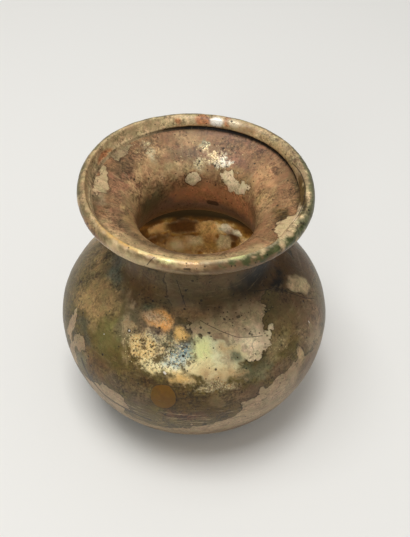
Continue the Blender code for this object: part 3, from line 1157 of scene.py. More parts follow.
def outside_sheets() -> list[Patch]:
    """Lists the crisp sheets of crust on the outer wall."""
    return lay(
        Layer.SHEET,
        Side.OUTSIDE,
        drawn(
            "enamel sheet", -60, 44, Shade.MAUVE_SMOKE, 1.0, 0.4, (-100, 45), (-98, 54), (30, 54),
            (24, 45), (8, 41), (-3, 39.2), (-9, 37.8), (-14, 37.3), (-16, 39), (-20, 40.4), (-24, 42.2),
            (-33, 43.2), (-41, 42.7), (-47, 41.6), (-49, 40), (-54, 37.4), (-57, 36.2), (-60, 35.4),
            (-63, 35.7), (-66, 37.0), (-69, 38.4), (-75, 39.7), (-82, 41.2), (-90, 42.5), (-96, 43.5),
        ),
        # Brown of the enamel, darkened further as painted shade where the rim shades it.
        ("brown of the enamel", -70, 45.2, 13, 2.4, Shade.UMBER, 2.0, 0.8),
        ("olive of the enamel", -58, 47.0, 5, 3.0, Shade.OLIVE_UMBER, 2.0, 1.0),
        ("beige of the enamel", -65, 41.6, 9, 3.0, Shade.ENAMEL, 2.4, 1.0),
        ("pale foot of the enamel", -58, 38.6, 5.0, 3.0, Shade.ENAMEL_LIGHT, 2.4, 1.0),
        ("pale tip of the enamel", -61, 36.2, 2.2, 1.0, Shade.PALE_CREAM, 0.6, 0.5),
        ("tan left of the enamel", -82, 41.8, 4.0, 1.2, Shade.ENAMEL, 1.4, 1.0),
        ("honey of the enamel", -95, 43.6, 3.6, 1.2, Shade.HONEY_BROWN, 1.2, 1.0),
        # Painted shade under the rim at the enamel's left end.
        ("smoke of the enamel", -98, 50, 5, 5, Shade.UMBER_GREY, 2.5, 0.8),
        # Painted shadow: the rolled rim's shadow on the right of the neck.
        ("dark right neck", -28, 46.5, 9, 3.0, Shade.SOOT, 2.4, 0.9),
        ("dark right shoulder", -6, 42.6, 8, 3.0, Shade.SMOKE, 2.2, 0.9),
        # Painted shadow: the rim's shadow reaching down beside the right patch.
        ("soot by the right patch", -20, 42.6, 2.2, 1.0, Shade.SOOT, 0.8, 0.8),
        ("brown right shoulder", 6, 38, 8, 4, Shade.MAUVE, 2.2, 1.2),
        drawn(
            "right patch", -11, 39.4, Shade.CREAM, 0.5, 0.5, (-17, 41.3), (-12, 41.2), (-7, 39.7),
            (-6, 38.3), (-8, 37.2), (-12, 37.8), (-15, 39.4), (-19, 40.3),
        ),
        drawn(
            "foot crust", -55, 16, Shade.BUFF, 1.0, 0.5, (-105, 15), (-95, 16.8), (-84, 19.2),
            (-78, 20.6), (-72, 21.6), (-69, 23.6), (-69, 26.6), (-65, 27.0), (-59, 28.2), (-54, 29.6),
            (-47, 30.2), (-41, 30.3), (-36, 29.5), (-30, 28.4), (-20, 27.7), (0, 25), (20, 20), (60, 16),
            (60, 3), (-60, 3), (-105, 3),
        ),
        ("foot crust light", -54, 25.6, 8, 3.0, Shade.PINK_BUFF, 1.5, 1.0),
        ("foot crust mauve", -34, 24, 5, 4.0, Shade.MAUVE_GREY, 1.8, 1.2),
        ("foot crust low", -75, 12, 20, 2.4, Shade.MAUVE_GREY, 2.0, 1.2),
        ("foot crust pale", -66, 18.6, 10, 2.4, Shade.PINK_BUFF, 1.6, 1.2),
        ("strip over the foot crust", -38, 31.3, 1.1, 2.2, Shade.PALE_TAN, 0.5, 0.4),
        ("left edge crust", -155, 30.5, 1.8, 3.4, Shade.PINK_BUFF, 1.0, 1.2, -12),
        ("left edge flake", -145, 30.8, 2.4, 1.9, Shade.BUFF, 1.0, 1.0, 25),
        ("left low flake", -149, 24.6, 2.2, 3.6, Shade.PINK_BUFF, 1.0, 1.2, 15),
        drawn(
            "left foot crust", -126, 21, Shade.PINK_BUFF, 0.8, 0.9, (-142, 20.8), (-134, 23.0),
            (-125, 25.6), (-118, 25.0), (-115, 21.7), (-120, 15.5), (-137, 16.8),
        ),
        ("left foot band", -128, 13.0, 14, 3.6, Shade.BUFF, 1.5, 0.8),
        drawn(
            "back foot crust", 120, 12, Shade.BUFF, 1.0, 1.0, (58, 17), (74, 15), (90, 19), (104, 21.5),
            (117, 18.5), (132, 17), (146, 21), (158, 15), (170, 3), (58, 3),
        ),
        drawn(
            "back shoulder crust", 122, 39, Shade.CREAM, 0.6, 0.8, (108, 40.5), (118, 42.5), (130, 41.0),
            (136, 38.6), (127, 36.4), (116, 37.6), (110, 37.8),
        ),
        ("back small crust", 72, 37.5, 2.6, 1.6, Shade.PINK_BUFF, 0.8, 1.0, 20),
        ("back low crust", 158, 30.0, 2.4, 3.0, Shade.PINK_BUFF, 0.8, 1.2, -15),
    )


def outside_flakes() -> list[Patch]:
    """Lists the iridescent flakes and the spot of bare glass on the outer wall."""
    flakes = lay(
        Layer.FLAKE,
        Side.OUTSIDE,
        ("back gold flake", 96, 36.2, 3.4, 1.9, Shade.HONEY, 1.0, 1.0, -20),
        ("back green flake", 88, 34.8, 2.0, 1.2, Shade.PEARL_GREEN, 0.9, 0.9),
        ("back blue flake", 102, 35.0, 1.4, 0.9, Shade.BLUE, 0.8, 0.8),
        drawn(
            "orange flake", -110, 42.2, Shade.ORANGE, 0.7, 0.6, (-120, 42.0), (-115, 43.0), (-107, 43.6),
            (-102, 43.0), (-102, 41.9), (-105, 41.0), (-109, 41.2), (-114, 41.3), (-118, 41.6),
        ),
        ("pale orange flake", -117, 42.2, 1.4, 0.8, Shade.PALE_ORANGE, 0.7, 0.6),
        ("orange tail", -106, 40.4, 0.8, 1.2, Shade.ORANGE, 0.6, 0.8),
        ("sparkling grey", -110, 39.3, 3.0, 2.4, Shade.GREY_SPARK, 1.0, 1.0),
        ("gold left", -117, 38.2, 2.0, 3.8, Shade.HONEY, 1.4, 1.3, -35),
        ("gold left flecks", -124, 39.6, 1.2, 3.4, Shade.PINK_TAN, 1.4, 1.6, -33),
        ("gold middle", -111, 37.2, 3.4, 2.2, Shade.GOLD, 1.2, 1.3, -30),
        ("gold upper right", -104, 38.6, 1.8, 1.3, Shade.PALE_CREAM, 1.0, 1.2),
        # These two white-gold flakes are partly a painted highlight, a reflection along the gold zone's
        # lower edge.
        ("gold corner", -105, 35.6, 3.0, 1.5, Shade.WHITE_GOLD, 1.0, 0.9, -15),
        ("white gold", -98, 35.9, 3.6, 1.5, Shade.WHITE_GOLD, 1.0, 0.8),
        ("gold foot", -92, 34.2, 4.0, 1.0, Shade.GOLD, 1.0, 1.0),
        ("blue flake", -96, 38.5, 4.4, 2.3, Shade.BLUE, 0.9, 0.9),
        ("teal of the blue flake", -99, 39.4, 2.0, 1.2, Shade.DEEP_TEAL, 0.8, 0.9),
        ("blue white flake", -97, 37.2, 2.4, 0.9, Shade.BLUE_WHITE, 0.8, 0.8),
        ("deep blue flake", -92, 39.4, 1.8, 1.2, Shade.DEEP_BLUE, 0.6, 0.8),
        drawn(
            "bright orange flake", -96, 41.2, Shade.BRIGHT_ORANGE, 0.25, 0.2, (-100, 41.8), (-97, 42.1),
            (-95, 41.7), (-91, 41.1), (-93, 40.4), (-97, 40.3), (-99.5, 40.8),
        ),
        drawn(
            "pearl heart", -80, 37.2, Shade.PEARL, 1.8, 1.0, (-87, 40.8), (-82, 40.9), (-74, 40.2),
            (-65, 39.2), (-64, 37.2), (-70, 34.4), (-77, 32.4), (-82, 32.6), (-85, 34.1), (-87, 36.3),
            (-88, 39.1),
        ),
        ("pearl green edge", -85, 38.6, 1.8, 3.2, Shade.PEARL_GREEN, 1.0, 0.6),
        ("pearl cream left", -87, 36.0, 2.2, 1.6, Shade.WHITE_GOLD, 1.0, 0.6),
        ("pearl pink tip", -72, 38.8, 2.0, 1.0, Shade.PEARL_PEACH, 0.8, 0.8),
        ("pearl right end", -69, 37.8, 2.0, 1.2, Shade.PEARL_YELLOW, 0.9, 0.8),
        # Gold flakes brightened as a painted highlight.
        ("gold left glow", -109, 38.6, 3.4, 1.5, Shade.GOLD, 1.3, 1.2),
        ("pearl yellow", -78, 36.0, 3.4, 1.3, Shade.PEARL_YELLOW, 1.2, 0.9),
        # Painted highlight at the pearly heart's middle.
        ("pearl white core", -83, 37.0, 1.4, 0.9, Shade.WHITE_GOLD, 0.9, 0.8),
        ("pearl peach", -77, 34.4, 4.2, 1.3, Shade.PEARL_PEACH, 1.2, 1.0),
        ("pearl brown", -79, 32.8, 4.6, 1.1, Shade.PEARL_BROWN, 1.2, 1.2),
        ("pearl smudge", -73, 37.2, 1.6, 1.0, Shade.ENAMEL, 1.0, 0.9),
        ("teal corner", -68.5, 37.0, 0.8, 1.2, Shade.TEAL, 0.4, 0.8),
    )
    bare = lay(
        Layer.BARE,
        Side.OUTSIDE,
        ("amber disc", -100.5, 29.4, 3.0, 3.4, Shade.BUFF, 0.4, 0.15),
    )
    return flakes + bare


def outside_strengths() -> list[Patch]:
    """Lists where the outer wall is rough, sparkling, pitted or streaked."""
    grit = strengths(
        Layer.GRIT,
        Side.OUTSIDE,
        ("smooth neck", -80, 47, 22, 4, 2, 0.75),
        ("smooth heart", -79, 37, 5, 5, 1, 0.55),
        ("smooth flank", -128, 36, 6, 7, 2, 0.8),
        ("rough speckles", -49, 36.5, 4, 5, 1.5, 1.3),
    )
    sparkle = strengths(
        Layer.SPARKLE,
        Side.OUTSIDE,
        ("gold specks", -49, 36.8, 3.4, 4.4, 1.4, 0.5),
        ("sparkling gold", -108, 38, 8.0, 4.4, 1.4, 0.8),
        ("sparkling back flakes", 95, 35.6, 6.0, 3.0, 1.4, 0.7),
        ("sparkling blue", -96, 38, 4.4, 3.0, 1.0, 0.8),
        ("speckled orange", -110, 42.4, 3.4, 1.6, 0.8, 0.45),
        ("quiet bright flake", -96, 41.2, 1.6, 0.9, 0.5, 0.05),
        ("quiet heart", -79, 37.5, 4.6, 4.0, 1.4, 0.12),
        ("sparkling foot of the heart", -82, 32.5, 6, 1.6, 1.0, 0.6),
        ("sparkling enamel tip", -60, 36.0, 3, 1.4, 1.0, 0.25),
    )
    pitting = strengths(
        Layer.PITTING,
        Side.OUTSIDE,
        ("pitted back", 100, 40, 24, 6, 3, 0.6),
        ("pitted enamel", -66, 42, 12, 5, 2, 1.0),
        ("pitted dark side", -40, 43.5, 6, 3, 2, 1.0),
        ("pitted left streaks", -117, 40.5, 5, 3, 2, 0.9),
    )
    streak = strengths(
        Layer.STREAK,
        Side.OUTSIDE,
        ("streaked foot", -60, 14, 60, 12, 3, 0.9),
        ("streaked right side", -38, 34, 6, 8, 3, 0.35),
        ("streaked left edge", -150, 26, 6, 8, 3, 0.35),
    )
    return grit + sparkle + pitting + streak


def rim_patches() -> list[Patch]:
    """Lists the patches on the rolled rim and in its groove, where height is the angle round the roll."""
    tones = lay(
        Layer.TONE,
        Side.RIM,
        # Painted shade: the underside of the roll, where it turns down toward the neck.
        ("underside", -90, -50, 90, 1.6, Shade.MAUVE_SMOKE, 0.8, 0.3),
        ("front low brown", -88, 30, 24, 1.3, Shade.MAUVE_SMOKE, 0.5, 0.5),
        ("front low peach", -97, 40, 5, 0.4, Shade.FUNNEL_TAN, 0.5, 0.6),
        ("outer side left", -124, 0, 10, 1.2, Shade.CREAM, 0.8, 0.3),
        ("outer side right", -62, 5, 9, 1.4, Shade.MAUVE_GREY, 0.8, 0.4),
        # Gold crust brightened as a painted highlight along the front of the roll.
        ("front gold", -116, 112, 17, 1.4, Shade.HONEY, 0.6, 0.6),
        ("left beige", 180, 90, 14, 2.2, Shade.PALE_TAN, 1.0, 0.7),
        ("left outer dark", 165, 20, 12, 1.0, Shade.SOOT, 0.5, 0.6),
        ("front left brown", -148, 20, 6, 1.4, Shade.FUNNEL_BROWN, 0.8, 0.6),
        ("back left cream", 125, 120, 14, 2.4, Shade.CREAM, 1.0, 0.7),
        ("back cream", 92, 120, 10, 1.6, Shade.CREAM, 0.8, 0.7),
        ("back outer grey", 90, 45, 60, 1.2, Shade.SMOKE_GREY, 0.6, 0.4),
        ("back brown block", 88.5, 135, 2.0, 1.6, Shade.RED_BROWN, 0.3, 0.3),
        ("back second block", 74.5, 135, 1.0, 1.6, Shade.RED_BROWN, 0.3, 0.3),
        ("back third block", 103, 140, 0.8, 1.0, Shade.RED_BROWN, 0.3, 0.3),
        ("back right brown", 60, 140, 5, 1.0, Shade.FUNNEL_TAN, 0.5, 0.6),
        ("right inner beige", 20, 130, 14, 1.6, Shade.BUFF, 0.6, 0.5),
        # Painted shade on the roll's inner face beside the groove at the right.
        ("right inner shade", -3, 150, 7, 1.3, Shade.UMBER, 0.3, 0.15),
        ("right front inner shade", -17, 128, 5, 1.5, Shade.UMBER, 0.3, 0.2),
        ("right outer green", 0, 35, 20, 1.5, Shade.MOSS_GREY, 0.4, 0.4),
        ("right outer dark", 18, 10, 10, 1.4, Shade.SLATE, 0.5, 0.6),
        ("right front grey", -32, 50, 7, 1.8, Shade.MOSS_GREY, 0.8, 0.8),
        ("right crescent", -25, 150, 4.6, 1.2, Shade.PALE_CREAM, 0.3, 0.3),
        ("grey over the moss", -56, 85, 7.0, 1.0, Shade.MOSS_GREY, 0.6, 1.0),
        ("moss", -51, 48, 7.5, 0.75, Shade.MOSS, 0.3, 1.0),
        ("moss spots", -60, 70, 2.4, 0.6, Shade.MOSS, 0.3, 0.9),
        ("crescent's front", -37, 112, 3.4, 1.3, Shade.CREAM, 0.4, 0.5),
        ("grey crust's rim", 144, 160, 3.4, 1.6, Shade.CREAM, 0.5, 0.6),
        ("red by the left rim", 156, 168, 3.2, 0.8, Shade.RED_BROWN, 0.4, 0.7),
        ("oval crust's rim", 173, 155, 4.4, 1.6, Shade.ENAMEL, 0.5, 0.5),
        ("back right inner beige", 34, 160, 9, 1.3, Shade.PALE_TAN, 0.4, 0.9),
    )
    flakes = lay(
        Layer.FLAKE,
        Side.RIM,
        ("front cream line", -84, 108, 12, 0.7, Shade.PALE_CREAM, 0.5, 0.5),
        ("front green pearl", -101, 70, 2.0, 0.8, Shade.PEARL_GREEN, 0.5, 0.3),
        ("front peach", -91, 60, 2.4, 0.9, Shade.ROSE, 0.6, 0.4),
        ("green pearl right", -70, 95, 1.2, 0.5, Shade.PEARL_GREEN, 0.4, 0.3),
        # Gold flakes brightened as a painted highlight on the front-left of the roll.
        ("left bright gold", -118, 112, 10, 1.2, Shade.GOLD, 0.6, 0.6),
        ("left bright core", -106, 110, 4.0, 0.9, Shade.WHITE_GOLD, 0.6, 0.4),
        ("back glint", 80.5, 140, 1.6, 1.4, Shade.WHITE, 0.2, 0.2),
        ("back cream block", 70, 125, 1.8, 1.1, Shade.PALE_CREAM, 0.4, 0.4),
    )
    groove = lay(
        Layer.TONE,
        Side.GROOVE,
        ("open groove", 30, 0.5, 37, 9, Shade.GRIME, 2.0, 0.2),
    )
    grit = strengths(
        Layer.GRIT,
        Side.RIM,
        ("rough moss", -44, 85, 8, 2.4, 0.8, 1.3),
        ("smooth front", -100, 60, 20, 4, 1.5, 0.3),
    )
    return tones + flakes + groove + grit


def inside_tones() -> list[Patch]:
    """Lists the soft stains in the funnel and the throat."""
    return lay(
        Layer.TONE,
        Side.INSIDE,
        ("throat", 90, 47, 90, 5.0, Shade.THROAT, 2.5),
        ("grey left throat", 146, 53, 5, 4.0, Shade.SMOKE_GREY, 3.0, 0.6),
        ("red throat", 80, 51.5, 9, 3.0, Shade.RED_BROWN, 1.6),
        ("red right throat", 42, 52.5, 6, 3.6, Shade.RED_BROWN, 1.6),
        ("left purple", 165, 60.5, 4.5, 5, Shade.FUNNEL_PURPLE, 1.5, 1.2),
        ("left low purple", -155, 60.5, 6, 4, Shade.FUNNEL_PURPLE, 1.5, 1.2),
        ("left low tan", 178, 58.0, 3.0, 3.6, Shade.FUNNEL_TAN, 1.2, 1.4),
        ("left grey crust", -174, 62.8, 2.6, 2.0, Shade.BUFF, 0.9, 1.2),
        ("pale left specks", -158, 59.8, 6.0, 0.8, Shade.FUNNEL_TAN, 0.6, 1.2),
        ("fibrous arc", 150, 59.8, 7.0, 0.7, Shade.FUNNEL_TAN, 0.6, 0.9),
        ("cream back left", 130, 59.6, 4.0, 1.8, Shade.FUNNEL_TAN, 1.2, 1.8),
        ("left dark streak", 150, 62.0, 4.0, 1.6, Shade.MAUVE, 1.2, 1.4),
        ("left foot shade", -156, 63.6, 6.0, 1.4, Shade.MAUVE, 0.9, 0.9),
        ("back left tan", 126, 61.5, 4.5, 2.6, Shade.FUNNEL_TAN, 1.4, 1.6),
        ("back fibrous tan", 114, 58.6, 6.0, 1.8, Shade.FUNNEL_TAN, 1.2, 1.2),
        ("left throat tan", 148, 56.6, 3.2, 1.5, Shade.FUNNEL_TAN, 0.8, 1.0),
        ("back rose", 97, 62.2, 3.6, 2.2, Shade.FUNNEL_TAN, 1.4, 1.4),
        # Painted shade, at part strength, on the far funnel wall, which faces away from the light.
        ("back mauve", 101, 60.2, 5.0, 2.8, Shade.MAUVE_GREY, 1.8, 1.6, 0.0, 0.6),
        ("back right mauve", 60, 60.6, 4.0, 2.4, Shade.FUNNEL_PURPLE, 1.4, 1.4),
        ("back red", 84, 58.0, 4.0, 1.2, Shade.PINK_TAN, 1.0, 0.8),
        ("right tan", 14, 59.6, 5.0, 3.0, Shade.PINK_TAN, 1.4, 1.6),
        ("right pink", 30, 60.6, 4.0, 3.0, Shade.ROSE, 1.4, 1.6),
        ("right low tan", -8, 57.5, 4.0, 4.0, Shade.FUNNEL_TAN, 1.4, 1.2),
        ("right low dark", -14, 61.5, 3.4, 2.0, Shade.UMBER, 1.0, 1.0),
        ("right rim shade", 5, 64.0, 11, 1.2, Shade.UMBER_GREY, 0.8, 0.5),
        ("back right rim shade", 52, 64.2, 11, 1.4, Shade.FUNNEL_PURPLE, 0.9, 0.6),
        ("front purple", -100, 60, 24, 6, Shade.MAUVE_GREY, 2.0, 1.0),
        ("front right low", -45, 60, 10, 5, Shade.FUNNEL_BROWN, 2.0, 1.0),
        ("front inner lip", -112, 62.8, 16, 3.8, Shade.PALE_TAN, 0.9, 0.4),
        ("front inner lip light", -80, 62.6, 14, 3.6, Shade.PALE_TAN, 0.8, 0.5),
        ("left low pale", -150, 59.0, 6, 2.4, Shade.PINK_TAN, 1.2, 1.4),
        ("left high pale", 166, 58.6, 3.4, 2.2, Shade.FUNNEL_TAN, 1.2, 1.4),
        ("back pale", 98, 58.8, 4.6, 1.4, Shade.PALE_TAN, 1.2, 1.6),
        ("broken crust haze", 49, 58.0, 6.0, 2.4, Shade.PINK_TAN, 1.2, 1.6),
        ("under the crescent", -36, 63.2, 4.0, 0.9, Shade.UMBER, 0.5, 0.3),
    )


def inside_sheets() -> list[Patch]:
    """Lists the sheets of crust in the funnel."""
    return lay(
        Layer.SHEET,
        Side.INSIDE,
        drawn(
            "oval crust", 172, 63.2, Shade.ENAMEL, 0.8, 0.7, (160, 65), (160, 63.2), (166, 62.4),
            (176, 61.9), (183, 63.0), (183, 65),
        ),
        ("grey crust", 144, 64.4, 3.6, 1.7, Shade.BUFF, 0.9, 0.9),
        ("round crust", 95, 56.0, 2.0, 1.8, Shade.PALE_CREAM, 0.6, 0.4),
        drawn(
            "broken crust", 50, 57.5, Shade.PALE_CREAM, 1.0, 1.1, (71, 59.0), (61, 59.4), (50, 58.6),
            (39, 58.8), (31, 58.0), (38, 57.0), (45, 55.0), (55, 55.0), (65, 56.0),
        ),
        drawn(
            "crescent crust", -25, 62.4, Shade.CREAM, 0.7, 0.5, (-38, 63.4), (-33, 62.5), (-27, 61.7),
            (-21, 61.5), (-16, 62.6), (-12, 65.4), (-22, 65.2), (-29, 64.7), (-33, 64.0),
        ),
    )


def inside_flakes() -> list[Patch]:
    """Lists the flakes in the funnel."""
    return lay(
        Layer.FLAKE,
        Side.INSIDE,
        # Pale crust with a painted highlight: the bright reflection on the far funnel wall.
        ("sparkling core", 73, 60.2, 2.6, 1.5, Shade.ENAMEL_LIGHT, 0.9, 1.5),
        ("white of the sparkle", 71, 60.4, 1.2, 0.9, Shade.WHITE, 0.8, 0.9),
        ("sparkling green", 86, 62.0, 1.3, 1.3, Shade.SMOKE_GREY, 0.9, 1.2),
        ("pink pearl", 80, 60.8, 1.6, 1.2, Shade.PEARL_PEACH, 0.8, 1.2),
        ("sparkling tail", 91, 58.8, 1.2, 1.4, Shade.CREAM, 0.8, 1.0),
        ("white fibres", 127, 62.2, 0.9, 2.4, Shade.CREAM, 0.8, 0.8),
    )


def floor_flakes() -> list[Patch]:
    """Lists the patches on the ball's floor, as seen through the throat."""
    return lay(
        Layer.FLAKE,
        Side.INSIDE,
        ("honey floor", 109, 23.4, 4.2, 2.0, Shade.AMBER_HONEY, 0.6, 0.5),
        ("dark floor", 97.5, 23.2, 5.4, 3.0, Shade.AMBER_DARK, 0.6, 0.4),
        ("gold floor", 84.5, 22.4, 3.4, 3.2, Shade.AMBER_HONEY, 0.6, 0.5),
        ("white floor", 75.5, 23.6, 1.8, 1.7, Shade.FLOOR_WHITE, 0.4, 0.4),
        ("dark right floor", 71, 21.2, 2.6, 2.0, Shade.AMBER_DARK, 0.6, 0.5),
        ("white right floor", 69, 23.2, 1.2, 0.7, Shade.FLOOR_WHITE, 0.4, 0.3),
        ("dark left floor", 112, 19.8, 3.6, 1.9, Shade.AMBER_DARK, 0.6, 0.5),
        ("near floor", 91, 17.0, 11.0, 3.0, Shade.AMBER_BROWN, 1.2, 0.6),
        ("near pale spot", 101, 16.8, 1.8, 1.1, Shade.FLOOR_BUFF, 0.6, 0.6),
        ("near pale cloud", 92, 17.6, 2.2, 1.3, Shade.FLOOR_BUFF, 0.6, 0.6),
        ("near grey cloud", 76, 18.6, 2.0, 2.2, Shade.FLOOR_BUFF, 0.6, 0.6),
    )


def inside_strengths() -> list[Patch]:
    """Lists where the funnel and the throat are fibrous, sparkling, rough or pitted."""
    streak = strengths(
        Layer.STREAK,
        Side.INSIDE,
        ("fibrous funnel", 90, 60, 90, 8, 2, 0.45),
    )
    sparkle = strengths(
        Layer.SPARKLE,
        Side.INSIDE,
        ("sparkle", 80, 60.8, 6.5, 3.8, 1.5, 0.8),
        ("fibres sparkle", 127, 62.2, 2.5, 3.0, 1.5, 0.6),
    )
    grit = strengths(
        Layer.GRIT,
        Side.INSIDE,
        ("speckled right", 55, 61.0, 7, 3.5, 1.5, 1.2),
        ("plain throat", 90, 48, 90, 6, 2, 0.6),
    )
    pitting = strengths(
        Layer.PITTING,
        Side.INSIDE,
        ("pitted back", 70, 61, 12, 3.5, 1.5, 0.9),
    )
    return streak + sparkle + grit + pitting


def marks() -> list[Mark]:
    """Lists the cracks, scratches and single pits."""
    outer, rim, inner = Side.OUTSIDE, Side.RIM, Side.INSIDE
    return [
        Mark("long scratch", outer, ((-85, 42.8), (-77, 41.8), (-66, 40.1), (-53, 38.9)), 0.09),
        Mark("neck scratch", outer, ((-104, 50.4), (-99, 46.8), (-95, 44.6)), 0.09),
        Mark("right shoulder line", outer, ((-46, 45.0), (-26, 42.6), (-16, 37.4), (-12, 35.6)), 0.10),
        Mark(
            "left crack", outer, ((-141, 27.4), (-136, 23.4), (-128, 20.6), (-118, 20.0), (-106, 18.6)), 0.42
        ),
        Mark("foot crust crack", outer, ((-137, 20.4), (-124, 17.2)), 0.10),
        Mark("neck pit", outer, ((-77, 52.6),), 0.40),
        Mark("left neck pit", outer, ((-91, 50.8),), 0.32),
        Mark("scratch's pit", outer, ((-98, 46.6),), 0.30),
        Mark("brown pit", outer, ((-84, 45.9),), 0.32),
        Mark("wide pit", outer, ((-61.6, 42.4), (-60.6, 42.4)), 0.34),
        Mark("low enamel pit", outer, ((-58, 39.7),), 0.34),
        Mark("left enamel pit", outer, ((-85, 42.0),), 0.32),
        Mark("middle enamel pit", outer, ((-70, 42.6),), 0.30),
        Mark("bubble", outer, ((-123.4, 39.4),), 0.52),
        Mark("middle of the bubble", outer, ((-123.4, 39.45),), 0.22, light=True),
        Mark("right glint", outer, ((-25, 34.8), (-25, 34.3)), 0.11, light=True),
        Mark("left glint", outer, ((-134.5, 36.6),), 0.12, light=True),
        # Painted highlight: a small white glint on the flakes.
        Mark("white star painted glint", outer, ((-101.2, 35.0), (-100.6, 34.8)), 0.24, light=True),
        Mark("fold line", rim, ((-36, 145), (-26, 126), (-14, 114), (0, 114), (12, 126), (22, 150)), 0.14),
        Mark("rim crack", rim, ((-107.5, 70), (-109, 30), (-110, 0)), 0.11),
        Mark("rim pit", rim, ((-93.5, 25), (-91.5, 25)), 0.26),
        Mark("rim speck", rim, ((-85, 45),), 0.22),
        Mark("dark square", inner, ((78, 48.4), (72, 48.4)), 0.9),
        Mark("funnel pit", inner, ((-2, 61.2),), 0.3),
        Mark("left funnel pit", inner, ((-174, 63.4),), 0.25),
    ]


def weathering() -> list[Patch]:
    """Returns every patch in the order that they are laid on."""
    outside = outside_tones() + outside_sheets() + outside_flakes() + outside_strengths()
    inside = inside_tones() + inside_sheets() + inside_flakes() + floor_flakes() + inside_strengths()
    return outside + rim_patches() + inside


@dataclass
class GlassJar:
    """The blown jar: one wall from its floor, over the rolled rim, to its foot."""

    shape: JarShape = field(default_factory=JarShape)
    waves: RimWaves = field(default_factory=RimWaves)
    turn_steps: int = 344
    fine_spacing: float = 0.6 * MM
    hidden_spacing: float = 1.4 * MM
    bead_spacing: float = 0.4 * MM
    throat_foot: float = 42.5 * MM
    open_groove_azimuth: float = 30.0
    pressed_reach: float = 0.3 * MM
    pressed_bend: float = 0.6 * MM
    broad_dent: float = 0.10 * MM
    fine_dent: float = 0.03 * MM
    rim_dent: float = 0.14 * MM
    rim_skin: float = 0.05 * MM
    bead_steps: int = 120
    table_start_share: float = 0.7
    groove_opening: tuple[float, float] = (-0.05, 0.5)
    no_patch: float = -9.0
    deepest: float = 3.0
    shade_bleed: float = 0.8
    patches: list[Patch] = field(default_factory=weathering)
    marks: list[Mark] = field(default_factory=marks)

    @staticmethod
    def walk(points: np.ndarray, spacing: float) -> np.ndarray:
        """Places points along a line at an even spacing.

        Args:
            points: The line's points.
            spacing: The distance wanted between two points.

        Returns:
            The new points, with both ends kept.
        """
        run = np.concatenate([[0.0], np.cumsum(np.linalg.norm(np.diff(points, axis=0), axis=1))])
        count = max(int(round(run[-1] / spacing)), 2) + 1
        places = np.linspace(0.0, run[-1], count)
        return np.stack([np.interp(places, run, points[:, 0]), np.interp(places, run, points[:, 1])], 1)

    def profile(self) -> tuple[np.ndarray, np.ndarray, np.ndarray]:
        """Draws the wall's closed profile.

        Returns:
            Its points from the middle of the inner floor to the middle of the foot, the same with
            the rim's groove filled, and each point's side.
        """
        shape = self.shape
        outside = shape.outside()
        inside = shape.inside(outside)
        bead_end = shape.bead_centre + direction(shape.bead_end_angle) * shape.bead_radius
        groove = bead_end + np.array([shape.groove_depth, -shape.groove_drop])
        below = (inside[:, 1] < shape.waist_height) | (inside[:, 0] < groove[0] - shape.groove_drop)
        inside = inside[below]
        hidden = int(np.argmax(inside[:, 1] > self.throat_foot))
        ball = self.walk(inside[: hidden + 1], self.hidden_spacing)
        inside = np.vstack([ball[:-1], self.walk(inside[hidden:], self.fine_spacing)])
        angles = np.linspace(shape.bead_end_angle, shape.bead_start_angle, self.bead_steps)
        bead = shape.bead_centre + np.stack([np.cos(angles), np.sin(angles)], 1) * shape.bead_radius
        bead = self.walk(bead, self.bead_spacing)
        outside = outside[::-1]
        foot = int(np.argmax(outside[:, 1] < shape.foot_roll_height))
        wall = self.walk(outside[: foot + 1], self.fine_spacing)
        outside = np.vstack([wall[1:-1], self.walk(outside[foot:], self.hidden_spacing)])
        hollow = self.walk(np.array([inside[-1], groove, bead[0]]), self.bead_spacing)[1:-1]
        pressed = int(np.argmax(bead[:, 0] > shape.bead_centre[0] - self.pressed_reach))
        share = np.linspace(0.0, 1.0, len(hollow) + pressed + 2)[1:-1, None]
        way = inside[-1] - inside[-2]
        corner = inside[-1] + way / np.linalg.norm(way) * self.pressed_bend
        flat = inside[-1] * (1 - share) ** 2 + corner * 2 * share * (1 - share) + bead[pressed] * share**2
        opened = np.vstack([inside, hollow, bead, outside])
        closed = np.vstack([inside, flat, bead[pressed:], outside])
        stretches = zip(Side, (inside, hollow, bead, outside))
        sides = np.concatenate([np.full(len(stretch), side.value) for side, stretch in stretches])
        return opened, closed, sides

    def surface(self, opened: np.ndarray, sides: np.ndarray, points: np.ndarray) -> Surface:
        """Unrolls the wall, in millimetres.

        Args:
            opened: The profile's points.
            sides: Each profile point's side.
            points: The mesh's vertices.

        Returns:
            The place of every vertex, and a height table for each side.
        """
        run = np.concatenate([[0.0], np.cumsum(np.linalg.norm(np.diff(opened, axis=0), axis=1))]) / MM
        azimuth = np.arange(self.turn_steps) * 360.0 / self.turn_steps
        azimuth = (azimuth + 180.0) % 360.0 - 180.0
        surface = Surface(
            np.tile(azimuth, len(opened)),
            np.repeat(opened[:, 0] / MM, self.turn_steps),
            np.repeat(run, self.turn_steps),
            np.repeat(sides, self.turn_steps),
            points / MM,
        )
        heights = opened[:, 1] / MM
        wide = opened[:, 0] > self.shape.foot_radius * self.table_start_share
        for side in (Side.INSIDE, Side.OUTSIDE):
            here = np.flatnonzero((sides == side.value) & wide)
            here = here[np.argsort(heights[here])]
            surface.side_tables[side] = (heights[here], run[here], opened[here, 0] / MM)
        here = np.flatnonzero(sides == Side.GROOVE.value)
        across = np.linspace(0.0, 1.0, len(here))
        surface.side_tables[Side.GROOVE] = (across, run[here], opened[here, 0] / MM)
        here = np.flatnonzero(sides == Side.RIM.value)[::-1]
        from_centre = opened[here] - self.shape.bead_centre
        angles = np.degrees(np.unwrap(np.arctan2(from_centre[:, 1], from_centre[:, 0])))
        surface.side_tables[Side.RIM] = (angles, run[here], opened[here, 0] / MM)
        return surface

    def groove_openness(self, azimuth: np.ndarray) -> np.ndarray:
        """Returns how open the groove under the rolled rim is, 0 to 1, at azimuths in radians."""
        return smooth_step(*self.groove_opening, np.cos(azimuth - math.radians(self.open_groove_azimuth)))

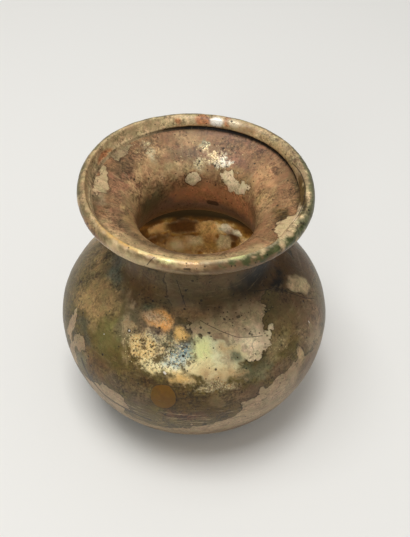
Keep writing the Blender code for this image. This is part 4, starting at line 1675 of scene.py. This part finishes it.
    def vertices(self, opened: np.ndarray, closed: np.ndarray) -> np.ndarray:
        """Turns the profile round and works its rim by hand.

        Args:
            opened: The profile with the rim's groove.
            closed: The profile with the groove filled.

        Returns:
            The vertices, profile point by profile point.
        """
        azimuth = np.arange(self.turn_steps) * math.tau / self.turn_steps
        openness = self.groove_openness(azimuth)[None, :, None]
        drawn = opened[:, None, :] * openness + closed[:, None, :] * (1.0 - openness)
        base, bead_height = self.shape.waist_height, self.shape.bead_centre[1]
        share = np.clip((drawn[..., 1] - base) / (bead_height - base), 0.0, 1.0) ** self.waves.fade_power
        radius = drawn[..., 0] + self.waves.spread(azimuth)[None] * share
        height = drawn[..., 1] + self.waves.lift(azimuth)[None] * share
        across, up = np.cos(azimuth)[None], np.sin(azimuth)[None]
        return np.stack([radius * across, radius * up, height], -1).reshape(-1, 3)

    def dent(self, surface: Surface, opened: np.ndarray, points: np.ndarray) -> np.ndarray:
        """Dents the skin a little inward, as a free-blown wall is never true.

        Args:
            surface: The unrolled wall.
            opened: The profile's points.
            points: The mesh's vertices.

        Returns:
            The dented vertices.
        """
        along = np.gradient(opened, axis=0)
        along /= np.maximum(np.linalg.norm(along, axis=1), 1e-12)[:, None]
        inward = np.repeat(np.stack([along[:, 1], -along[:, 0]], 1), self.turn_steps, axis=0)
        visible = (surface.side == Side.OUTSIDE.value) | (surface.side == Side.RIM.value)
        visible &= surface.run < surface.side_tables[Side.OUTSIDE][1].max()
        broad, middle, fine = (
            0.5 + 0.5 * surface.wander(size)
            for size in (surface.broad_wander, surface.middle_wander, surface.fine_wander)
        )
        depth = self.broad_dent * broad + self.fine_dent * fine
        on_rim = surface.side == Side.RIM.value
        depth = np.where(on_rim, self.rim_skin + self.rim_dent * middle, depth)
        depth = np.where(visible, np.clip(depth, 0.0, None), 0.0)
        turn = np.radians(surface.azimuth)
        move = np.stack([inward[:, 0] * np.cos(turn), inward[:, 0] * np.sin(turn), inward[:, 1]], 1)
        return points + move * depth[:, None]

    def paint(self, surface: Surface) -> dict[str, np.ndarray]:
        """Lays every patch on the unrolled wall.

        Args:
            surface: The unrolled wall.

        Returns:
            The mesh attributes' values by name.
        """
        count = len(surface.azimuth)
        tone = np.zeros((count, 4))
        for side, shade in EVERYDAY_TONES.items():
            tone[surface.side == side.value] = shade.value
        layers: dict[str, np.ndarray] = {"tone": tone}
        for layer, strength in EVERYDAY_STRENGTHS.items():
            layers[layer.value] = np.full(count, strength)
        for layer in (Layer.SHEET, Layer.FLAKE, Layer.BARE):
            layers[layer.value] = np.full(count, self.no_patch)
            if layer is not Layer.BARE:
                layers[layer.value + "_shade"] = np.tile(np.array(Shade.BUFF.value), (count, 1))
        for patch in self.patches:
            depth = surface.depth(patch)
            weight = smooth_step(-patch.soft, patch.soft, depth)
            name = patch.layer.value
            if patch.layer in EVERYDAY_STRENGTHS:
                layers[name] = layers[name] * (1.0 - weight) + patch.strength * weight
                continue
            if patch.layer is not Layer.TONE:
                layers[name] = np.maximum(layers[name], np.clip(depth, self.no_patch, self.deepest))
                if patch.layer is Layer.BARE:
                    continue
                name += "_shade"
                weight = smooth_step(-patch.soft - self.shade_bleed, patch.soft, depth)
            else:
                weight = weight * patch.strength
            cover = weight[:, None]
            layers[name] = layers[name] * (1.0 - cover) + np.array(patch.shade.value) * cover
        turn = np.radians(surface.azimuth)
        layers["unrolled"] = np.stack([turn, surface.run, surface.radius], 1)
        return layers

    def build(self, effects: WeatheringEffects) -> bpy.types.Object:
        """Makes the jar's mesh with its attributes and finishes.

        Args:
            effects: The shared node groups.

        Returns:
            The jar's object.
        """
        opened, closed, sides = self.profile()
        steps, rows = self.turn_steps, len(opened)
        grid = np.arange(rows * steps).reshape(rows, steps)
        turned = np.roll(grid, -1, axis=1)
        quads = np.stack([grid[:-1], turned[:-1], turned[1:], grid[1:]], -1).reshape(-1, 4)
        points = self.vertices(opened, closed)
        surface = self.surface(opened, sides, points)
        mesh = bpy.data.meshes.new("blown_jar")
        mesh.from_pydata(self.dent(surface, opened, points).tolist(), [], quads.tolist())
        kinds = {1: ("FLOAT", "value"), 3: ("FLOAT_VECTOR", "vector"), 4: ("FLOAT_COLOR", "color")}
        for name, values in self.paint(surface).items():
            kind, item = kinds[values.shape[1] if values.ndim == 2 else 1]
            made = mesh.attributes.new(name, kind, "POINT")
            made.data.foreach_set(item, values.ravel().astype(np.float32))
        for finish in self.finishes():
            mesh.materials.append(finish.build(effects, surface, self.marks))
        mesh.materials.append(AmberInside().build(effects))
        mesh.polygons.foreach_set("material_index", np.repeat(self.finish_rows(opened, sides), steps))
        mesh.polygons.foreach_set("use_smooth", np.ones(len(quads), bool))
        self.weld_middles(mesh)
        jar = bpy.data.objects.new("blown_jar", mesh)
        bpy.context.collection.objects.link(jar)
        return jar

    @staticmethod
    def weld_middles(mesh: bpy.types.Mesh) -> None:
        """Joins the rings of no width at the middles of the floor and the foot."""
        work = bmesh.new()
        work.from_mesh(mesh)
        bmesh.ops.remove_doubles(work, verts=work.verts, dist=WELD_DISTANCE)
        bmesh.ops.recalc_face_normals(work, faces=work.faces)
        work.to_mesh(mesh)
        work.free()

    @staticmethod
    def finishes() -> list[WeatheredFinish]:
        """Lists the finishes in the order of the mesh's first material slots."""
        return [
            WeatheredFinish("weathered_outside", (Side.OUTSIDE,)),
            WeatheredFinish("pearly_rim", (Side.RIM,), roughness=0.34),
            WeatheredFinish("mottled_funnel", (Side.INSIDE, Side.GROOVE), roughness=0.42, fibres=True),
        ]

    def finish_rows(self, opened: np.ndarray, sides: np.ndarray) -> np.ndarray:
        """Returns the finish of each band of faces along the profile."""
        chosen = {Side.OUTSIDE.value: 0, Side.RIM.value: 1, Side.GROOVE.value: 2, Side.INSIDE.value: 2}
        rows = np.array([chosen[side] for side in sides[:-1]], np.int32)
        rows[(sides[:-1] == Side.INSIDE.value) & (opened[:-1, 1] < self.throat_foot)] = 3
        return rows


@dataclass(frozen=True)
class Panel:
    """One soft rectangular light: where it hangs in metres, its width and height, and its watts."""

    name: str
    place: tuple[float, float, float]
    size: tuple[float, float]
    power: float


@dataclass(frozen=True)
class Studio:
    """The plain pale floor, the soft lights and the camera."""

    floor_reach: float = 3.0
    floor_shade: Colour = srgb(236, 235, 231)
    floor_roughness: float = 0.7
    key_panel: Panel = Panel("key_panel", (-0.12, -0.04, 0.86), (0.42, 0.42), 4.9)
    front_panel: Panel = Panel("front_panel", (-0.28, -1.00, 0.62), (0.18, 0.24), 1.2)
    panel_target: tuple[float, float, float] = (0.0, 0.0, 0.03)
    camera_place: tuple[float, float, float] = (2.452 * MM, -135.12 * MM, 174.58 * MM)
    camera_dip: float = 0.789
    camera_roll: float = 0.037
    focal_pixels: float = 750.0
    sensor: float = 36.0
    nearest: float = 0.01
    sky_shade: Colour = (1.0, 0.985, 0.96, 1.0)
    sky_strength: float = 0.43
    horizon_strength: float = 0.15
    full_sky_rise: float = 0.8

    def build(self) -> None:
        """Makes the floor, the lights and the camera."""
        self.floor()
        self.sky()
        self.hang(self.key_panel)
        self.hang(self.front_panel)
        self.camera()

    def floor(self) -> None:
        """Makes the floor that the jar stands on."""
        half = self.floor_reach
        mesh = bpy.data.meshes.new("floor")
        corners = [(-half, -half, 0), (half, -half, 0), (half, half, 0), (-half, half, 0)]
        mesh.from_pydata(corners, [], [(0, 1, 2, 3)])
        material = bpy.data.materials.new("pale_floor")
        material.use_nodes = True
        shader = material.node_tree.nodes["Principled BSDF"]
        shader.inputs["Base Color"].default_value = self.floor_shade
        shader.inputs["Roughness"].default_value = self.floor_roughness
        mesh.materials.append(material)
        floor = bpy.data.objects.new("floor", mesh)
        bpy.context.collection.objects.link(floor)
        floor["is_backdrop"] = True

    def sky(self) -> None:
        """Surrounds the scene with a soft, faintly warm light, dimmer toward the horizon."""
        world = bpy.data.worlds.new("soft_room")
        world.use_nodes = True
        graph = Graph(world.node_tree)
        way = graph.node("ShaderNodeTexCoord").outputs["Generated"]
        rise = graph.node("ShaderNodeSeparateXYZ", {0: way}).outputs[2]
        shader = world.node_tree.nodes["Background"]
        shader.inputs["Color"].default_value = self.sky_shade
        strength = graph.span(rise, 0.0, self.full_sky_rise, self.horizon_strength, self.sky_strength)
        world.node_tree.links.new(strength, shader.inputs["Strength"])
        bpy.context.scene.world = world
        bpy.context.scene.view_settings.view_transform = "Standard"

    def hang(self, panel: Panel) -> None:
        """Hangs a light panel so that it faces the jar."""
        light = bpy.data.lights.new(panel.name, "AREA")
        light.shape = "RECTANGLE"
        light.size, light.size_y = panel.size
        light.energy = panel.power
        hung = bpy.data.objects.new(panel.name, light)
        hung.location = panel.place
        way = Vector(self.panel_target) - Vector(panel.place)
        hung.rotation_euler = way.to_track_quat("-Z", "Y").to_euler()
        bpy.context.collection.objects.link(hung)

    def camera(self) -> None:
        """Sets the camera at the angle the jar is looked at from."""
        lens = bpy.data.cameras.new("camera")
        lens.sensor_width = self.sensor
        lens.lens = self.sensor * self.focal_pixels / max(FRAME_SIZE)
        lens.clip_start = self.nearest
        dip, roll = self.camera_dip, self.camera_roll
        level = Vector((1.0, 0.0, 0.0))
        raised = Vector((0.0, math.sin(dip), math.cos(dip)))
        back = Vector((0.0, -math.cos(dip), math.sin(dip)))
        right = level * math.cos(roll) + raised * math.sin(roll)
        up = raised * math.cos(roll) - level * math.sin(roll)
        camera = bpy.data.objects.new("camera", lens)
        turned = Matrix((right, up, back)).transposed().to_4x4()
        camera.matrix_world = Matrix.Translation(self.camera_place) @ turned
        bpy.context.collection.objects.link(camera)
        bpy.context.scene.camera = camera


def main() -> None:
    """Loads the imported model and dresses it."""
    logging.basicConfig(level=logging.INFO, format="%(message)s")
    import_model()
    solid_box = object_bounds()
    effects = WeatheringEffects()
    effects.build()
    jar = GlassJar().build(effects)
    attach(jar, BODY)
    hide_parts(NODE)
    log.info("%s: %d faces", jar.name, len(jar.data.polygons))
    Studio().build()
    dressed_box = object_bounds()
    boxes = {"cad": solid_box, "visual": dressed_box}
    boxes = {name: [list(corner) for corner in box] for name, box in boxes.items()}


if __name__ == "__main__":
    main()
